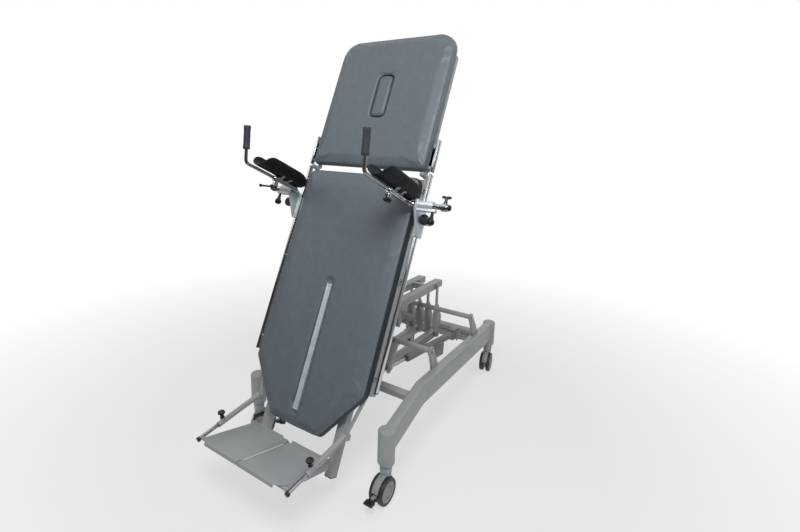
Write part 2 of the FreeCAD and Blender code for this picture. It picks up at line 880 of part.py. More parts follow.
def cranks():
    solids, bores = crank("RearCrank", REAR_PIVOT, "rear_gusset_side")
    on_base("rear_lift_crank", cut("RearLiftCrank", fuse("RearCrankSolid", solids), bores))
    solids, bores = crank("FrontCrank", FRONT_PIVOT, "front_gusset_side")
    solids.append(lift_lever())
    on_base("front_lift_crank", cut("FrontLiftCrank", fuse("FrontCrankSolid", solids), bores))


def connecting_rods():
    solids = []
    bores = []
    middle = "(spine_inner + spine_width / 2)"
    height = "pivot_height - lever_drop"
    ends = (f"{FRONT_PIVOT} + lever_back", f"{REAR_PIVOT} + lever_back")
    for side, word in ((-1, "Left"), (1, "Right")):
        span = on_side(side, (f"({middle} - rod_width / 2)", f"({middle} + rod_width / 2)"))
        solids.append(block("Rod" + word, span, ends,
                            (f"{height} - rod_height / 2", f"{height} + rod_height / 2")))
        for place, tag in zip(ends, ("Front", "Rear")):
            at = (place, height)
            solids.append(bar(f"Rod{tag}{word}", "x", at, "rod_height / 2", *span))
            bores.append(bar(f"RodBore{tag}{word}", "x", at, "lever_pin_radius + pin_gap",
                             f"{span[0]} - overrun / 2", f"{span[1]} + overrun / 2"))
    on_base("connecting_rods", cut("ConnectingRods", fuse("RodSolids", solids), bores))


def lift_frame():
    """Two spines on the crank arms, with the tabletop hinge at their front ends."""
    solids = []
    bores = []
    low, high = f"{SPINE_Z} - spine_height / 2", f"{SPINE_Z} + spine_height / 2"
    for side, word in ((-1, "Left"), (1, "Right")):
        span = on_side(side, ("spine_inner", "(spine_inner + spine_width)"))
        wide = (f"{span[0]} - overrun", f"{span[1]} + overrun")
        solids.append(block("Spine" + word, span,
                            ("-table_hinge_reach", "spine_rear_reach"), (low, high)))
        solids.append(bar("SpineNose" + word, "x", ("-table_hinge_reach", SPINE_Z),
                          "spine_height / 2", *span))
        for place, radius, tag in (("-table_hinge_reach", "hinge_pin_radius", "Hinge"),
                                   (FRONT_PIVOT, "arm_pin_radius", "Front"),
                                   (REAR_PIVOT, "arm_pin_radius", "Rear")):
            bores.append(bar(f"Spine{tag}Bore{word}", "x", (place, SPINE_Z),
                             f"{radius} + pin_gap", *wide))
        near = "(actuator_half + side_gap)"
        far = f"({near} + cheek_wall)"
        cheek = on_side(side, (near, far))
        solids.append(block("TiltCheek" + word, cheek,
                            ("tilt_base_reach - cheek_half", "tilt_base_reach + cheek_half"),
                            (f"{TILT_BASE_Z} - cheek_half", high)))
        pin = on_side(side, ("(actuator_half - trunnion_depth)", far))
        solids.append(bar("TiltTrunnion" + word, "x", ("tilt_base_reach", TILT_BASE_Z),
                          "trunnion_radius", *pin))
    for place, tag in (("tilt_base_reach", "Mid"), ("lift_cross_reach", "Rear")):
        solids.append(block(f"Lift{tag}Cross", ("-spine_inner", "spine_inner"),
                            (f"{place} - lift_cross_half", f"{place} + lift_cross_half"),
                            (f"{SPINE_Z} - lift_cross_half", high)))
    on_base("lift_frame", cut("LiftFrame", fuse("LiftFrameSolid", solids), bores))


# Actuators, drawn upright from their base pivot and then leaned forward

def span_length(dy, dz):
    return f"sqrt(({dy}) ^ 2 + ({dz}) ^ 2)"


def lean_forward(dy, dz):
    """Angle that turns an upright piece towards a point in front of it and above."""
    return f"atan2(-({dy}); {dz})"


def actuator_body(name, x, tube, extra):
    """Tube with a gearbox at its base, bored for the two trunnions."""
    left, right = f"{x} - actuator_half", f"{x} + actuator_half"
    solids = [
        bar(name + "Tube", "z", (x, "0"), "actuator_radius", "0", tube),
        bar(name + "Nose", "z", (x, "0"), "rod_radius + cheek_wall", tube,
            f"{tube} + cheek_wall"),
        block(name + "Gearbox", (left, right), ("-gearbox_half_depth", "gearbox_half_depth"),
              ("-gearbox_from", "gearbox_to"))] + extra
    bores = [bar(name + "TrunnionBore", "x", ("0", "0"), "trunnion_radius + pin_gap",
                 f"{left} - overrun", f"{right} + overrun"),
             bar(name + "RodBore", "z", (x, "0"), "rod_radius + pin_gap",
                 "gearbox_to + side_gap", f"{tube} + overrun")]
    return cut(name, fuse(name + "Solid", solids), bores)


def actuator_rod(name, x, low, length):
    solids = [bar(name + "Bar", "z", (x, "0"), "rod_radius", low, length),
              bar(name + "Eye", "x", ("0", length), "eye_radius",
                  f"{x} - eye_half", f"{x} + eye_half")]
    return fuse(name, solids)


def lift_actuator():
    dy = (f"({FRONT_PIVOT} - lift_lever_length * sin(lift_lever_lean)"
          " - lift_base_reach)")
    dz = "(pivot_height - lift_lever_length * cos(lift_lever_lean) - lift_base_height)"
    x = "lift_side"
    motor = block("LiftMotor", (f"{x} - lift_motor_half", f"{x} + lift_motor_half"),
                  ("-actuator_radius - lift_motor_height", "0"),
                  ("lift_motor_from", "lift_motor_from + lift_motor_length"))
    length = span_length(dy, dz)
    pieces = (("lift_actuator_body",
               actuator_body("LiftActuator", x, "lift_tube_length", [motor])),
              ("lift_actuator_rod",
               actuator_rod("LiftRod", x, "lift_tube_length / 2", length)))
    for label, obj in pieces:
        turn_about(obj, "x", lean_forward(dy, dz))
        move(obj, y="base_back + lift_base_reach", z="lift_base_height")
        node(label, obj)


def tilt_actuator():
    y, z = table_point("tilt_lug_back", "tilt_lug_up")
    dy = f"({y} - tilt_base_reach)"
    dz = f"({z} - {TILT_BASE_Z})"
    length = span_length(dy, dz)
    motor = [bar("TiltMotor", "z", ("0", "tilt_motor_offset"), "actuator_radius",
                 "-tilt_motor_from - tilt_motor_length", "gearbox_to - side_gap"),
             block("TiltMotorSeat", ("-actuator_half", "actuator_half"),
                   ("0", "tilt_motor_offset + actuator_radius"),
                   ("-gearbox_from", "gearbox_to"))]
    pieces = (("tilt_actuator_body",
               actuator_body("TiltActuator", "0", "tilt_tube_length", motor)),
              ("tilt_actuator_rod",
               actuator_rod("TiltRod", "0", f"{length} - tilt_rod_reach", length)))
    for label, obj in pieces:
        turn_about(obj, "x", lean_forward(dy, dz))
        move(obj, y="base_back + tilt_base_reach", z=TILT_BASE_Z)
        node(label, obj)


# Tabletop: y is behind the cushion face, z is up along the table

FRAME_BACK = "(cushion_depth + seat_gap)"
TUBE_BACK = f"({FRAME_BACK} + side_tube_depth)"
CROSS_BACK = f"({FRAME_BACK} + cross_tube_depth)"
SIDE_IN = "(side_tube_out - side_tube_width)"
HEAD_HINGE_UP = "(cushion_length + cushion_gap / 2)"
HEAD_LOW = "(cushion_length + cushion_gap)"
EAR_OUTER = ("(side_tube_out - ear_space - ear_wall)", "(side_tube_out - ear_space)")
EAR_INNER = ("(side_tube_out - 2 * ear_space - 2 * ear_wall)",
             "(side_tube_out - 2 * ear_space - ear_wall)")


STRUT_END = "(strut_radius + side_gap / 2 + strut_ear_wall)"


def frame_side():
    """Side tube with the head hinge ear on top and, below, a slim strap to the strut's ears."""
    tube = block("SideTube", (SIDE_IN, "side_tube_out"), (FRAME_BACK, TUBE_BACK),
                 ("side_tube_low", "side_tube_top"))
    ears_top = "(strut_up + strut_ear_half)"
    strap = outline("StrutStrap", "XZ", [
        (SIDE_IN, "side_tube_low + side_tube_width"),
        (SIDE_IN, "side_tube_low"),
        ("strut_side - strap_half", f"{ears_top} + strap_half"),
        (f"strut_side - {STRUT_END}", ears_top),
        (f"strut_side - {STRUT_END}", "strut_up - strut_ear_half"),
        (f"strut_side + {STRUT_END}", "strut_up - strut_ear_half"),
        (f"strut_side + {STRUT_END}", ears_top),
        ("strut_side + strap_half", f"{ears_top} + strap_half"),
        (f"{SIDE_IN} + 2 * strap_half", "side_tube_low"),
        (f"{SIDE_IN} + 2 * strap_half", "side_tube_low + side_tube_width")],
        FRAME_BACK, f"{FRAME_BACK} + strap_wall")
    low, high = f"{HEAD_HINGE_UP} - ear_half", f"{HEAD_HINGE_UP} + ear_half"
    ear = outline("SideEar", "YZ", [
        (f"{FRAME_BACK} + side_tube_depth / 2", "side_tube_top - side_tube_width"),
        (f"{FRAME_BACK} + side_tube_depth / 2", high),
        ("head_hinge_back", high),
        ("head_hinge_back", low),
        (f"{FRAME_BACK}", low),
        (f"{FRAME_BACK}", "side_tube_top - side_tube_width")], *EAR_OUTER)
    knuckle = bar("SideKnuckle", "x", ("head_hinge_back", HEAD_HINGE_UP), "ear_half",
                  *EAR_OUTER)
    solids = [tube, strap, ear, knuckle]
    for sign, tag in ((-1, "Inner"), (1, "Outer")):
        near = f"strut_side + {sign} * (strut_radius + side_gap / 2)"
        far = f"strut_side + {sign} * {STRUT_END}"
        xs = (far, near) if sign < 0 else (near, far)
        solids.append(block("StrutEar" + tag, xs,
                            ("strut_back - strut_ear_half", f"{FRAME_BACK} + strut_ear_wall"),
                            ("strut_up - strut_ear_half", "strut_up + strut_ear_half")))
    solids.append(bar("StrutPin", "x", ("strut_back", "strut_up"), "strut_pin_radius",
                      f"strut_side - {STRUT_END}", f"strut_side + {STRUT_END}"))
    bore = bar("SideEarBore", "x", ("head_hinge_back", HEAD_HINGE_UP),
               "ear_pin_radius + pin_gap", SIDE_IN, "side_tube_out + overrun")
    right = cut("FrameSide", fuse("FrameSideSolid", solids), [bore])
    on_table("frame_side_right", right)
    mirrored("frame_side_left", right)


def rail():
    """Chromed rail on studs and plates that stand out from the side tube."""
    back = "rail_front + rail_depth"
    solids = [block("RailBar", ("rail_inner", "rail_inner + rail_wall"),
                    ("rail_front", back), ("rail_low_up", "rail_high_up"))]
    middle = "rail_front + rail_depth / 2"
    for tag in ("low", "mid", "high"):
        up = "rail_stud_" + tag
        solids.append(bar("RailStud" + tag.title(), "x", (middle, up), "rail_stud_radius",
                          "side_tube_out", "rail_inner + rail_wall / 2"))
        solids.append(block("RailPlate" + tag.title(),
                            ("side_tube_out", "side_tube_out + rail_plate_wall"),
                            (f"{middle} - rail_stud_radius", f"{TUBE_BACK} - ear_wall"),
                            (f"{up} - rail_plate_half", f"{up} + rail_plate_half")))
    right = fuse("SideRail", solids)
    on_table("side_rail_right", right)
    mirrored("side_rail_left", right)


def frame_cross_tubes():
    """Cross tubes between the side tubes, with the tilt hinge plates and actuator lug."""
    solids = []
    for tag in ("leg", "low", "mid", "high"):
        up = f"cross_{tag}_up"
        reach = "(leg_side + leg_width / 2)" if tag == "leg" else SIDE_IN
        solids.append(block("Cross" + tag.title(), (f"-{reach}", reach),
                            (FRAME_BACK, CROSS_BACK),
                            (f"{up} - cross_tube_half", f"{up} + cross_tube_half")))
    for side, word in ((-1, "Left"), (1, "Right")):
        plate = on_side(side, ("(spine_inner + spine_width + spine_leaf_gap)",
                               "(spine_inner + spine_width + spine_leaf_gap"
                               " + hinge_plate_wall)"))
        solids.append(outline("HingePlate" + word, "YZ", [
            (FRAME_BACK, "cross_low_up"),
            (CROSS_BACK, "cross_low_up"),
            ("table_hinge_back + hinge_plate_half", "table_hinge_up - hinge_plate_half"),
            ("table_hinge_back + hinge_plate_half", "table_hinge_up + hinge_plate_half"),
            (CROSS_BACK, "cross_mid_up"),
            (FRAME_BACK, "cross_mid_up")], *plate))
        pin = on_side(side, ("(spine_inner - spine_leaf_gap)",
                             "(spine_inner + spine_width + spine_leaf_gap"
                             " + hinge_plate_wall + stud_height)"))
        solids.append(bar("HingePin" + word, "x", ("table_hinge_back", "table_hinge_up"),
                          "hinge_pin_radius", *pin))
        cheek = on_side(side, ("(eye_half + side_gap)", "(eye_half + side_gap + cheek_wall)"))
        stud = on_side(side, ("(eye_half + side_gap + cheek_wall)",
                              "(eye_half + side_gap + cheek_wall + stud_height)"))
        solids.append(block("TiltLug" + word, cheek,
                            (FRAME_BACK, "tilt_lug_back + stud_radius"),
                            ("tilt_lug_up - stud_radius", "cross_mid_up")))
        solids.append(bar("TiltLugStud" + word, "x", ("tilt_lug_back", "tilt_lug_up"),
                          "stud_radius", *stud))
    solids += gas_cheeks("GasLow", "gas_low_back", "gas_low_up", True)
    on_table("frame_cross_tubes", fuse("FrameCrossTubes", solids))


def gas_cheeks(name, back, up, pinned):
    """Two cheeks either side of an end of the gas spring."""
    x = "gas_side"
    ups = (f"{up} - gas_cheek_half", f"{up} + gas_cheek_half")
    solids = []
    for sign, tag in ((-1, "Inner"), (1, "Outer")):
        near = f"{x} + {sign} * (gas_radius + side_gap / 2)"
        far = f"{x} + {sign} * (gas_radius + side_gap / 2 + gas_cheek)"
        tip = f"{x} + {sign} * (gas_radius + side_gap / 2 + 2 * gas_cheek)"
        xs = (far, near) if sign < 0 else (near, far)
        ends = (tip, far) if sign < 0 else (far, tip)
        solids.append(block(name + tag, xs, (FRAME_BACK, f"{back} + gas_cheek_half"), ups))
        solids.append(bar(f"{name}{tag}Head", "x", (back, up), "2 * gas_pin_radius", *ends))
    if pinned:
        reach = "(gas_radius + side_gap / 2 + gas_cheek)"
        solids.append(bar(name + "Pin", "x", (back, up), "gas_pin_radius",
                          f"{x} - {reach}", f"{x} + {reach}"))
    return solids


def rounded_wire(half_low, half, low, shoulder, high, inset, depth, low_radius, high_radius):
    """Symmetric outline of lines and arcs, drawn in by an inset and set at a depth."""
    corners = [(half, high), (-half, high)]
    if shoulder > low:
        corners += [(-half, shoulder), (-half_low, low), (half_low, low), (half, shoulder)]
    else:
        corners += [(-half, low), (half, low)]
    count = len(corners)
    edges = []
    for i in range(count):
        start, end = Vector(*corners[i], 0), Vector(*corners[(i + 1) % count], 0)
        along = (end - start).normalize()
        inward = Vector(-along.y, along.x, 0)
        edges.append((start + inward * inset, along))
    moved = []
    for i in range(count):
        point, along = edges[i - 1]
        other, across = edges[i]
        turn = along.x * across.y - along.y * across.x
        gap = other - point
        share = (gap.x * across.y - gap.y * across.x) / turn
        moved.append(point + along * share)
    keep = size("corner_keep_share")
    arcs = []
    for i, corner in enumerate(moved):
        radius = high_radius if i < 2 else low_radius
        radius = max(radius - inset, radius * keep)
        before, after = edges[i - 1][1], edges[i][1]
        turn = before.getAngle(after)
        reach = radius * math.tan(turn / 2)
        start, end = corner - before * reach, corner + after * reach
        bisector = (after - before).normalize()
        middle = corner + bisector * (radius / math.cos(turn / 2) - radius)
        arcs.append([start, middle, end])
    flat = []
    for i, (start, middle, end) in enumerate(arcs):
        placed = [Vector(p.x, depth, p.y) for p in (start, middle, end)]
        following = arcs[(i + 1) % count][0]
        flat.append(Part.Arc(*placed).toShape())
        flat.append(Part.LineSegment(placed[2],
                                     Vector(following.x, depth, following.y)).toShape())
    return Part.Wire(flat)


def crowned(name, half_low, half, low, shoulder, high, low_radius, high_radius, front=0):
    """Upholstered solid: a crowned face, drawn-in sides and a flat back."""
    levels = [(0, "crown_face_in"), ("crown_one_depth", "crown_one_in"),
              ("crown_two_depth", "crown_two_in"), ("crown_three_depth", "crown_three_in"),
              ("crown_four_depth", 0), ("crown_five_depth", "crown_five_in"),
              ("cushion_depth", "crown_back_in")]
    narrow = min(1, half / size("cushion_half_width"))
    wires = []
    for depth, inset in levels:
        back = size(depth) if depth else 0
        drawn = size(inset) * narrow if inset else 0
        wires.append(rounded_wire(half_low, half, low, shoulder, high, drawn,
                                  front + back, low_radius, high_radius))
    obj = doc.addObject("Part::Feature", name)
    obj.Shape = Part.makeLoft(wires, True, True)
    return obj


def body_cushion():
    half = size("cushion_half_width")
    pad = crowned("BodyPad", size("cushion_foot_half"), half, 0, size("cushion_cut_up"),
                  size("cushion_length"), size("cushion_foot_corner"), size("cushion_corner"))
    wide = "(slot_half_width + seat_gap)"
    slot = block("SlotCut", (f"-{wide}", wide), ("-overrun", "cushion_depth + overrun"),
                 ("slot_low_up - seat_gap", "slot_low_up + slot_length + seat_gap"))
    on_table("body_cushion", cut("BodyCushion", pad, [slot]))
    bar_solid = block("SlotBar", ("-slot_half_width", "slot_half_width"),
                      ("slot_front", FRAME_BACK),
                      ("slot_low_up", "slot_low_up + slot_length"))
    groove = block("SlotGroove", ("-slot_groove_half", "slot_groove_half"),
                   ("-overrun", "slot_front + slot_groove"),
                   ("slot_low_up - overrun", "slot_low_up + slot_length + overrun"))
    on_table("slot_channel", cut("SlotChannel", bar_solid, [groove]))


def head_cushion():
    low = size("cushion_length") + size("cushion_gap")
    half = size("head_half_width")
    pad = crowned("HeadPad", half, half, low, low, low + size("head_length"),
                  size("head_low_corner"), size("head_top_corner"))
    plug_low, plug_half = size("plug_low_up"), size("plug_half_width")
    plug_high, corner = plug_low + size("plug_length"), size("plug_corner")
    gap = size("seat_gap")
    hole = doc.addObject("Part::Feature", "PlugHole")
    face = Part.Face(rounded_wire(plug_half, plug_half, plug_low, plug_low, plug_high, -gap,
                                  -size("overrun"), corner, corner))
    hole.Shape = face.extrude(Vector(0, size("cushion_depth") + 2 * size("overrun"), 0))
    on_table("head_cushion", cut("HeadCushion", pad, [hole]))
    plug = crowned("FacePlug", plug_half, plug_half, plug_low, plug_low, plug_high,
                   corner, corner)
    on_table("face_plug", plug)


def head_frame():
    """Frame of the head section with its hinge ears, short rails and gas spring lug."""
    tube_in = "(head_tube_out - head_tube_width)"
    start = f"({HEAD_HINGE_UP} + head_tube_gap)"
    solids = []
    low, high = f"{HEAD_HINGE_UP} - ear_half", f"{HEAD_HINGE_UP} + ear_half"
    middle = "rail_front + rail_depth / 2"
    for side, word in ((-1, "Left"), (1, "Right")):
        solids.append(block("HeadTube" + word, on_side(side, (tube_in, "head_tube_out")),
                            (FRAME_BACK, CROSS_BACK), (start, "head_tube_high_up")))
        ear = on_side(side, EAR_INNER)
        solids.append(outline("HeadEar" + word, "YZ", [
            (CROSS_BACK, f"{start} + head_tube_width"),
            (CROSS_BACK, high),
            (f"{FRAME_BACK} + ear_wall", low),
            ("head_hinge_back", low),
            ("head_hinge_back", high),
            (FRAME_BACK, high),
            (FRAME_BACK, f"{start} + head_tube_width")], *ear))
        solids.append(bar("HeadKnuckle" + word, "x", ("head_hinge_back", HEAD_HINGE_UP),
                          "ear_half", *ear))
        pin = on_side(side, (EAR_INNER[0], EAR_OUTER[1]))
        solids.append(bar("HeadPin" + word, "x", ("head_hinge_back", HEAD_HINGE_UP),
                          "ear_pin_radius", *pin))
        solids.append(block("HeadRail" + word,
                            on_side(side, ("rail_inner", "(rail_inner + rail_wall)")),
                            ("rail_front", "rail_front + rail_depth"),
                            ("head_rail_low_up", "head_rail_high_up")))
        for sign, end, tag in ((1, "head_rail_low_up", "Low"), (-1, "head_rail_high_up", "High")):
            up = f"{end} + {sign} * head_rail_stud_inset"
            solids.append(block(f"HeadStud{tag}{word}",
                                on_side(side, ("head_tube_out", "rail_inner")),
                                (f"{FRAME_BACK} + seat_gap", f"{CROSS_BACK} - ear_space"),
                                (f"{up} - rail_stud_radius", f"{up} + rail_stud_radius")))
            solids.append(block(f"HeadStudPlate{tag}{word}",
                                on_side(side, ("(rail_inner - head_stud_wall)", "rail_inner")),
                                (middle, f"{CROSS_BACK} - ear_space"),
                                (f"{up} - rail_stud_radius", f"{up} + rail_stud_radius")))
    for tag in ("low", "high"):
        up = f"head_cross_{tag}_up"
        solids.append(block("HeadCross" + tag.title(), (f"-{tube_in}", tube_in),
                            (FRAME_BACK, CROSS_BACK),
                            (f"{up} - head_cross_half", f"{up} + head_cross_half")))
    solids += gas_cheeks("GasHigh", "gas_high_back", "gas_high_up", False)
    on_table("head_frame", fuse("HeadFrame", solids))


def gas_spring():
    dy = "(gas_high_back - gas_low_back)"
    dz = "(gas_high_up - gas_low_up)"
    length = span_length(dy, dz)
    angle = lean_forward(dy, dz)
    x = "gas_side"
    span = (f"{x} - gas_radius + side_gap / 2", f"{x} + gas_radius - side_gap / 2")
    solids = [bar("GasTube", "z", (x, "0"), "gas_radius", "gas_eye_radius / 2",
                  "gas_tube_length"),
              bar("GasEye", "x", ("0", "0"), "gas_eye_radius", *span)]
    bores = [bar("GasPinBore", "x", ("0", "0"), "gas_pin_radius + pin_gap",
                 f"{span[0]} - overrun", f"{span[1]} + overrun"),
             bar("GasRodBore", "z", (x, "0"), "gas_rod_radius + pin_gap",
                 "gas_eye_radius + overrun / 2", "gas_tube_length + overrun")]
    body = cut("GasSpringBody", fuse("GasBodySolid", solids), bores)
    rod = fuse("GasSpringRod", [
        bar("GasRod", "z", (x, "0"), "gas_rod_radius", f"{length} - gas_rod_reach", length),
        bar("GasRodEye", "x", ("0", length), "gas_eye_radius", *span)])
    for label, obj in (("gas_spring_body", body), ("gas_spring_rod", rod)):
        on_table(label, obj, "gas_low_back", "gas_low_up", f"{angle} / 1 deg")


# Footrest

LEG_BACK = f"({CROSS_BACK} + leg_depth)"


def footrest_frame():
    """Two legs below the tabletop with a hinge bar for the footplates."""
    solids = []
    lug = ("(leg_side - leg_width / 2)", "(leg_side - leg_width / 2 + foot_lug_wall)")
    for side, word in ((-1, "Left"), (1, "Right")):
        span = on_side(side, ("(leg_side - leg_width / 2)", "(leg_side + leg_width / 2)"))
        solids.append(block("Leg" + word, span, (CROSS_BACK, LEG_BACK),
                            ("-leg_low + leg_cap", "leg_top")))
        solids.append(block("LegCap" + word,
                            (f"{span[0]} + side_gap", f"{span[1]} - side_gap"),
                            (f"{CROSS_BACK} + side_gap", f"{LEG_BACK} - side_gap"),
                            ("-leg_low", "-leg_low + leg_cap")))
        solids.append(block("FootLug" + word, on_side(side, lug),
                            ("foot_hinge_back - foot_lug_half", f"{CROSS_BACK} + leg_cap"),
                            ("-foot_hinge_low - foot_lug_half",
                             "-foot_hinge_low + foot_lug_half")))
    solids.append(bar("FootHingeBar", "x", ("foot_hinge_back", "-foot_hinge_low"),
                      "foot_hinge_radius", f"-{lug[1]}", lug[1]))
    on_table("footrest_frame", fuse("FootrestFrame", solids))


STUB_Y = "(-stub_reach)"


def footplate():
    """Folded sheet plate drawn about its hinge axis, with knuckles and a strut stub."""
    left, right = "plate_seam", "(plate_seam + plate_width)"
    top, under = "plate_rise", "(plate_rise - plate_wall)"
    corner = f"{right} - plate_corner_wide"
    solids = [outline("PlateSheet", "XY", [
        (left, "-plate_rear"), (left, "-plate_front"), (corner, "-plate_front"),
        (right, "-plate_front + plate_corner_deep"), (right, "-plate_rear")], under, top)]
    solids.append(block("PlateFlange", (f"{right} - plate_wall", right),
                        ("-plate_front + plate_corner_deep", "-plate_rear"),
                        ("plate_rise - plate_flange", top)))
    solids.append(block("PlateFrontFlange", (left, corner),
                        ("-plate_front", "-plate_front + plate_wall"),
                        ("plate_rise - plate_front_flange", top)))
    solids.append(block("PlateSeamTab", (left, f"{left} + plate_front_flange"),
                        ("-plate_front", "-plate_front + plate_corner_deep"),
                        ("plate_rise - plate_front_flange", top)))
    solids.append(block("PlateStop", ("plate_notch", right),
                        ("-plate_rear - plate_wall", "-plate_rear"),
                        (under, f"{top} + plate_stop")))
    bores = []
    for tag in ("inner", "outer"):
        span = (f"knuckle_{tag}_from", f"knuckle_{tag}_to")
        solids.append(bar("Knuckle" + tag.title(), "x", ("0", "0"), "knuckle_radius", *span))
        solids.append(block("KnuckleWeb" + tag.title(), span, ("-knuckle_web", "0"),
                            ("knuckle_radius / 2", under)))
        bores.append(bar("KnuckleBore" + tag.title(), "x", ("0", "0"),
                         "foot_hinge_radius + pin_gap",
                         f"{span[0]} - overrun / 2", f"{span[1]} + overrun / 2"))
    solids.append(bar("StrutStub", "x", (STUB_Y, "stub_rise"), "stub_radius", "stub_from",
                      "strut_side - strut_inner_radius - seat_gap"))
    solids.append(block("StubSeat", ("stub_from", "stub_from + 2 * stub_radius"),
                        (f"{STUB_Y} - stub_radius", f"{STUB_Y} + stub_radius"),
                        ("stub_rise", under)))
    right_plate = cut("Footplate", fuse("FootplateSolid", solids), bores)
    on_table("footplate_right", right_plate, "foot_hinge_back", "-foot_hinge_low",
             "foot_drop")
    mirrored("footplate_left", right_plate)


def struts():
    """Telescopic stay from the side tube to the footplate's stub, with a ball knob."""
    back = ("(foot_hinge_back - stub_reach * cos(foot_drop) - stub_rise * sin(foot_drop)"
            " - strut_back)")
    up = ("(-foot_hinge_low - stub_reach * sin(foot_drop) + stub_rise * cos(foot_drop)"
          " - strut_up)")
    length = span_length(back, up)
    angle = f"atan2(-({back}); {up}) / 1 deg"
    x = "strut_side"
    span = (f"{x} - strut_radius + side_gap / 2", f"{x} + strut_radius - side_gap / 2")
    boss_at = "(strut_tube_length - strut_boss_inset)"
    solids = [bar("StrutTube", "z", (x, "0"), "strut_radius", "0", "strut_tube_length"),
              bar("StrutEye", "x", ("0", "0"), "strut_radius + side_gap", *span),
              bar("StrutBoss", "y", (x, boss_at), "strut_boss_radius",
                  "0", "strut_boss_height")]
    bores = [bar("StrutPinBore", "x", ("0", "0"), "strut_pin_radius + pin_gap",
                 f"{x} - 2 * strut_radius", f"{x} + 2 * strut_radius"),
             bar("StrutSlideBore", "z", (x, "0"), "strut_inner_radius + pin_gap",
                 "strut_radius + overrun / 2", "strut_tube_length + overrun"),
             bar("StrutKnobBore", "y", (x, boss_at), "knob_stem_radius + pin_gap",
                 "strut_inner_radius", "strut_boss_height + overrun")]
    outer = cut("StrutOuter", fuse("StrutOuterSolid", solids), bores)
    inner = fuse("StrutInner", [
        bar("StrutRod", "z", (x, "0"), "strut_inner_radius",
            "strut_tube_length - strut_inner_hidden", f"{length} + strut_cap"),
        bar("StrutCap", "z", (x, "0"), "strut_cap_radius", f"{length} + strut_cap",
            f"{length} + 2 * strut_cap")])
    knob = fuse("StrutKnob", [
        bar("StrutKnobStem", "y", (x, boss_at), "knob_stem_radius",
            "strut_inner_radius + seat_gap", "ball_rise"),
        bar("StrutKnobNeck", "y", (x, boss_at), "strut_boss_radius - side_gap",
            "strut_boss_height + seat_gap", "ball_rise"),
        ball("StrutKnobBall", (x, "ball_rise", boss_at), "ball_radius")])
    for label, obj in (("strut_outer", outer), ("strut_inner", inner), ("strut_knob", knob)):
        on_table(label + "_right", obj, "strut_back", "strut_up", angle)
        mirrored(label + "_left", obj)


# Armrests

CLAMP_LOW = "(sleeve_up - clamp_low_drop)"
CLAMP_HIGH = "(sleeve_up - clamp_high_drop)"
KNOB_UP = "(sleeve_up - disc_knob_drop)"
GUTTER_LOW = "(sleeve_up + gutter_rise)"
GUTTER_HIGH = f"({GUTTER_LOW} + gutter_depth)"


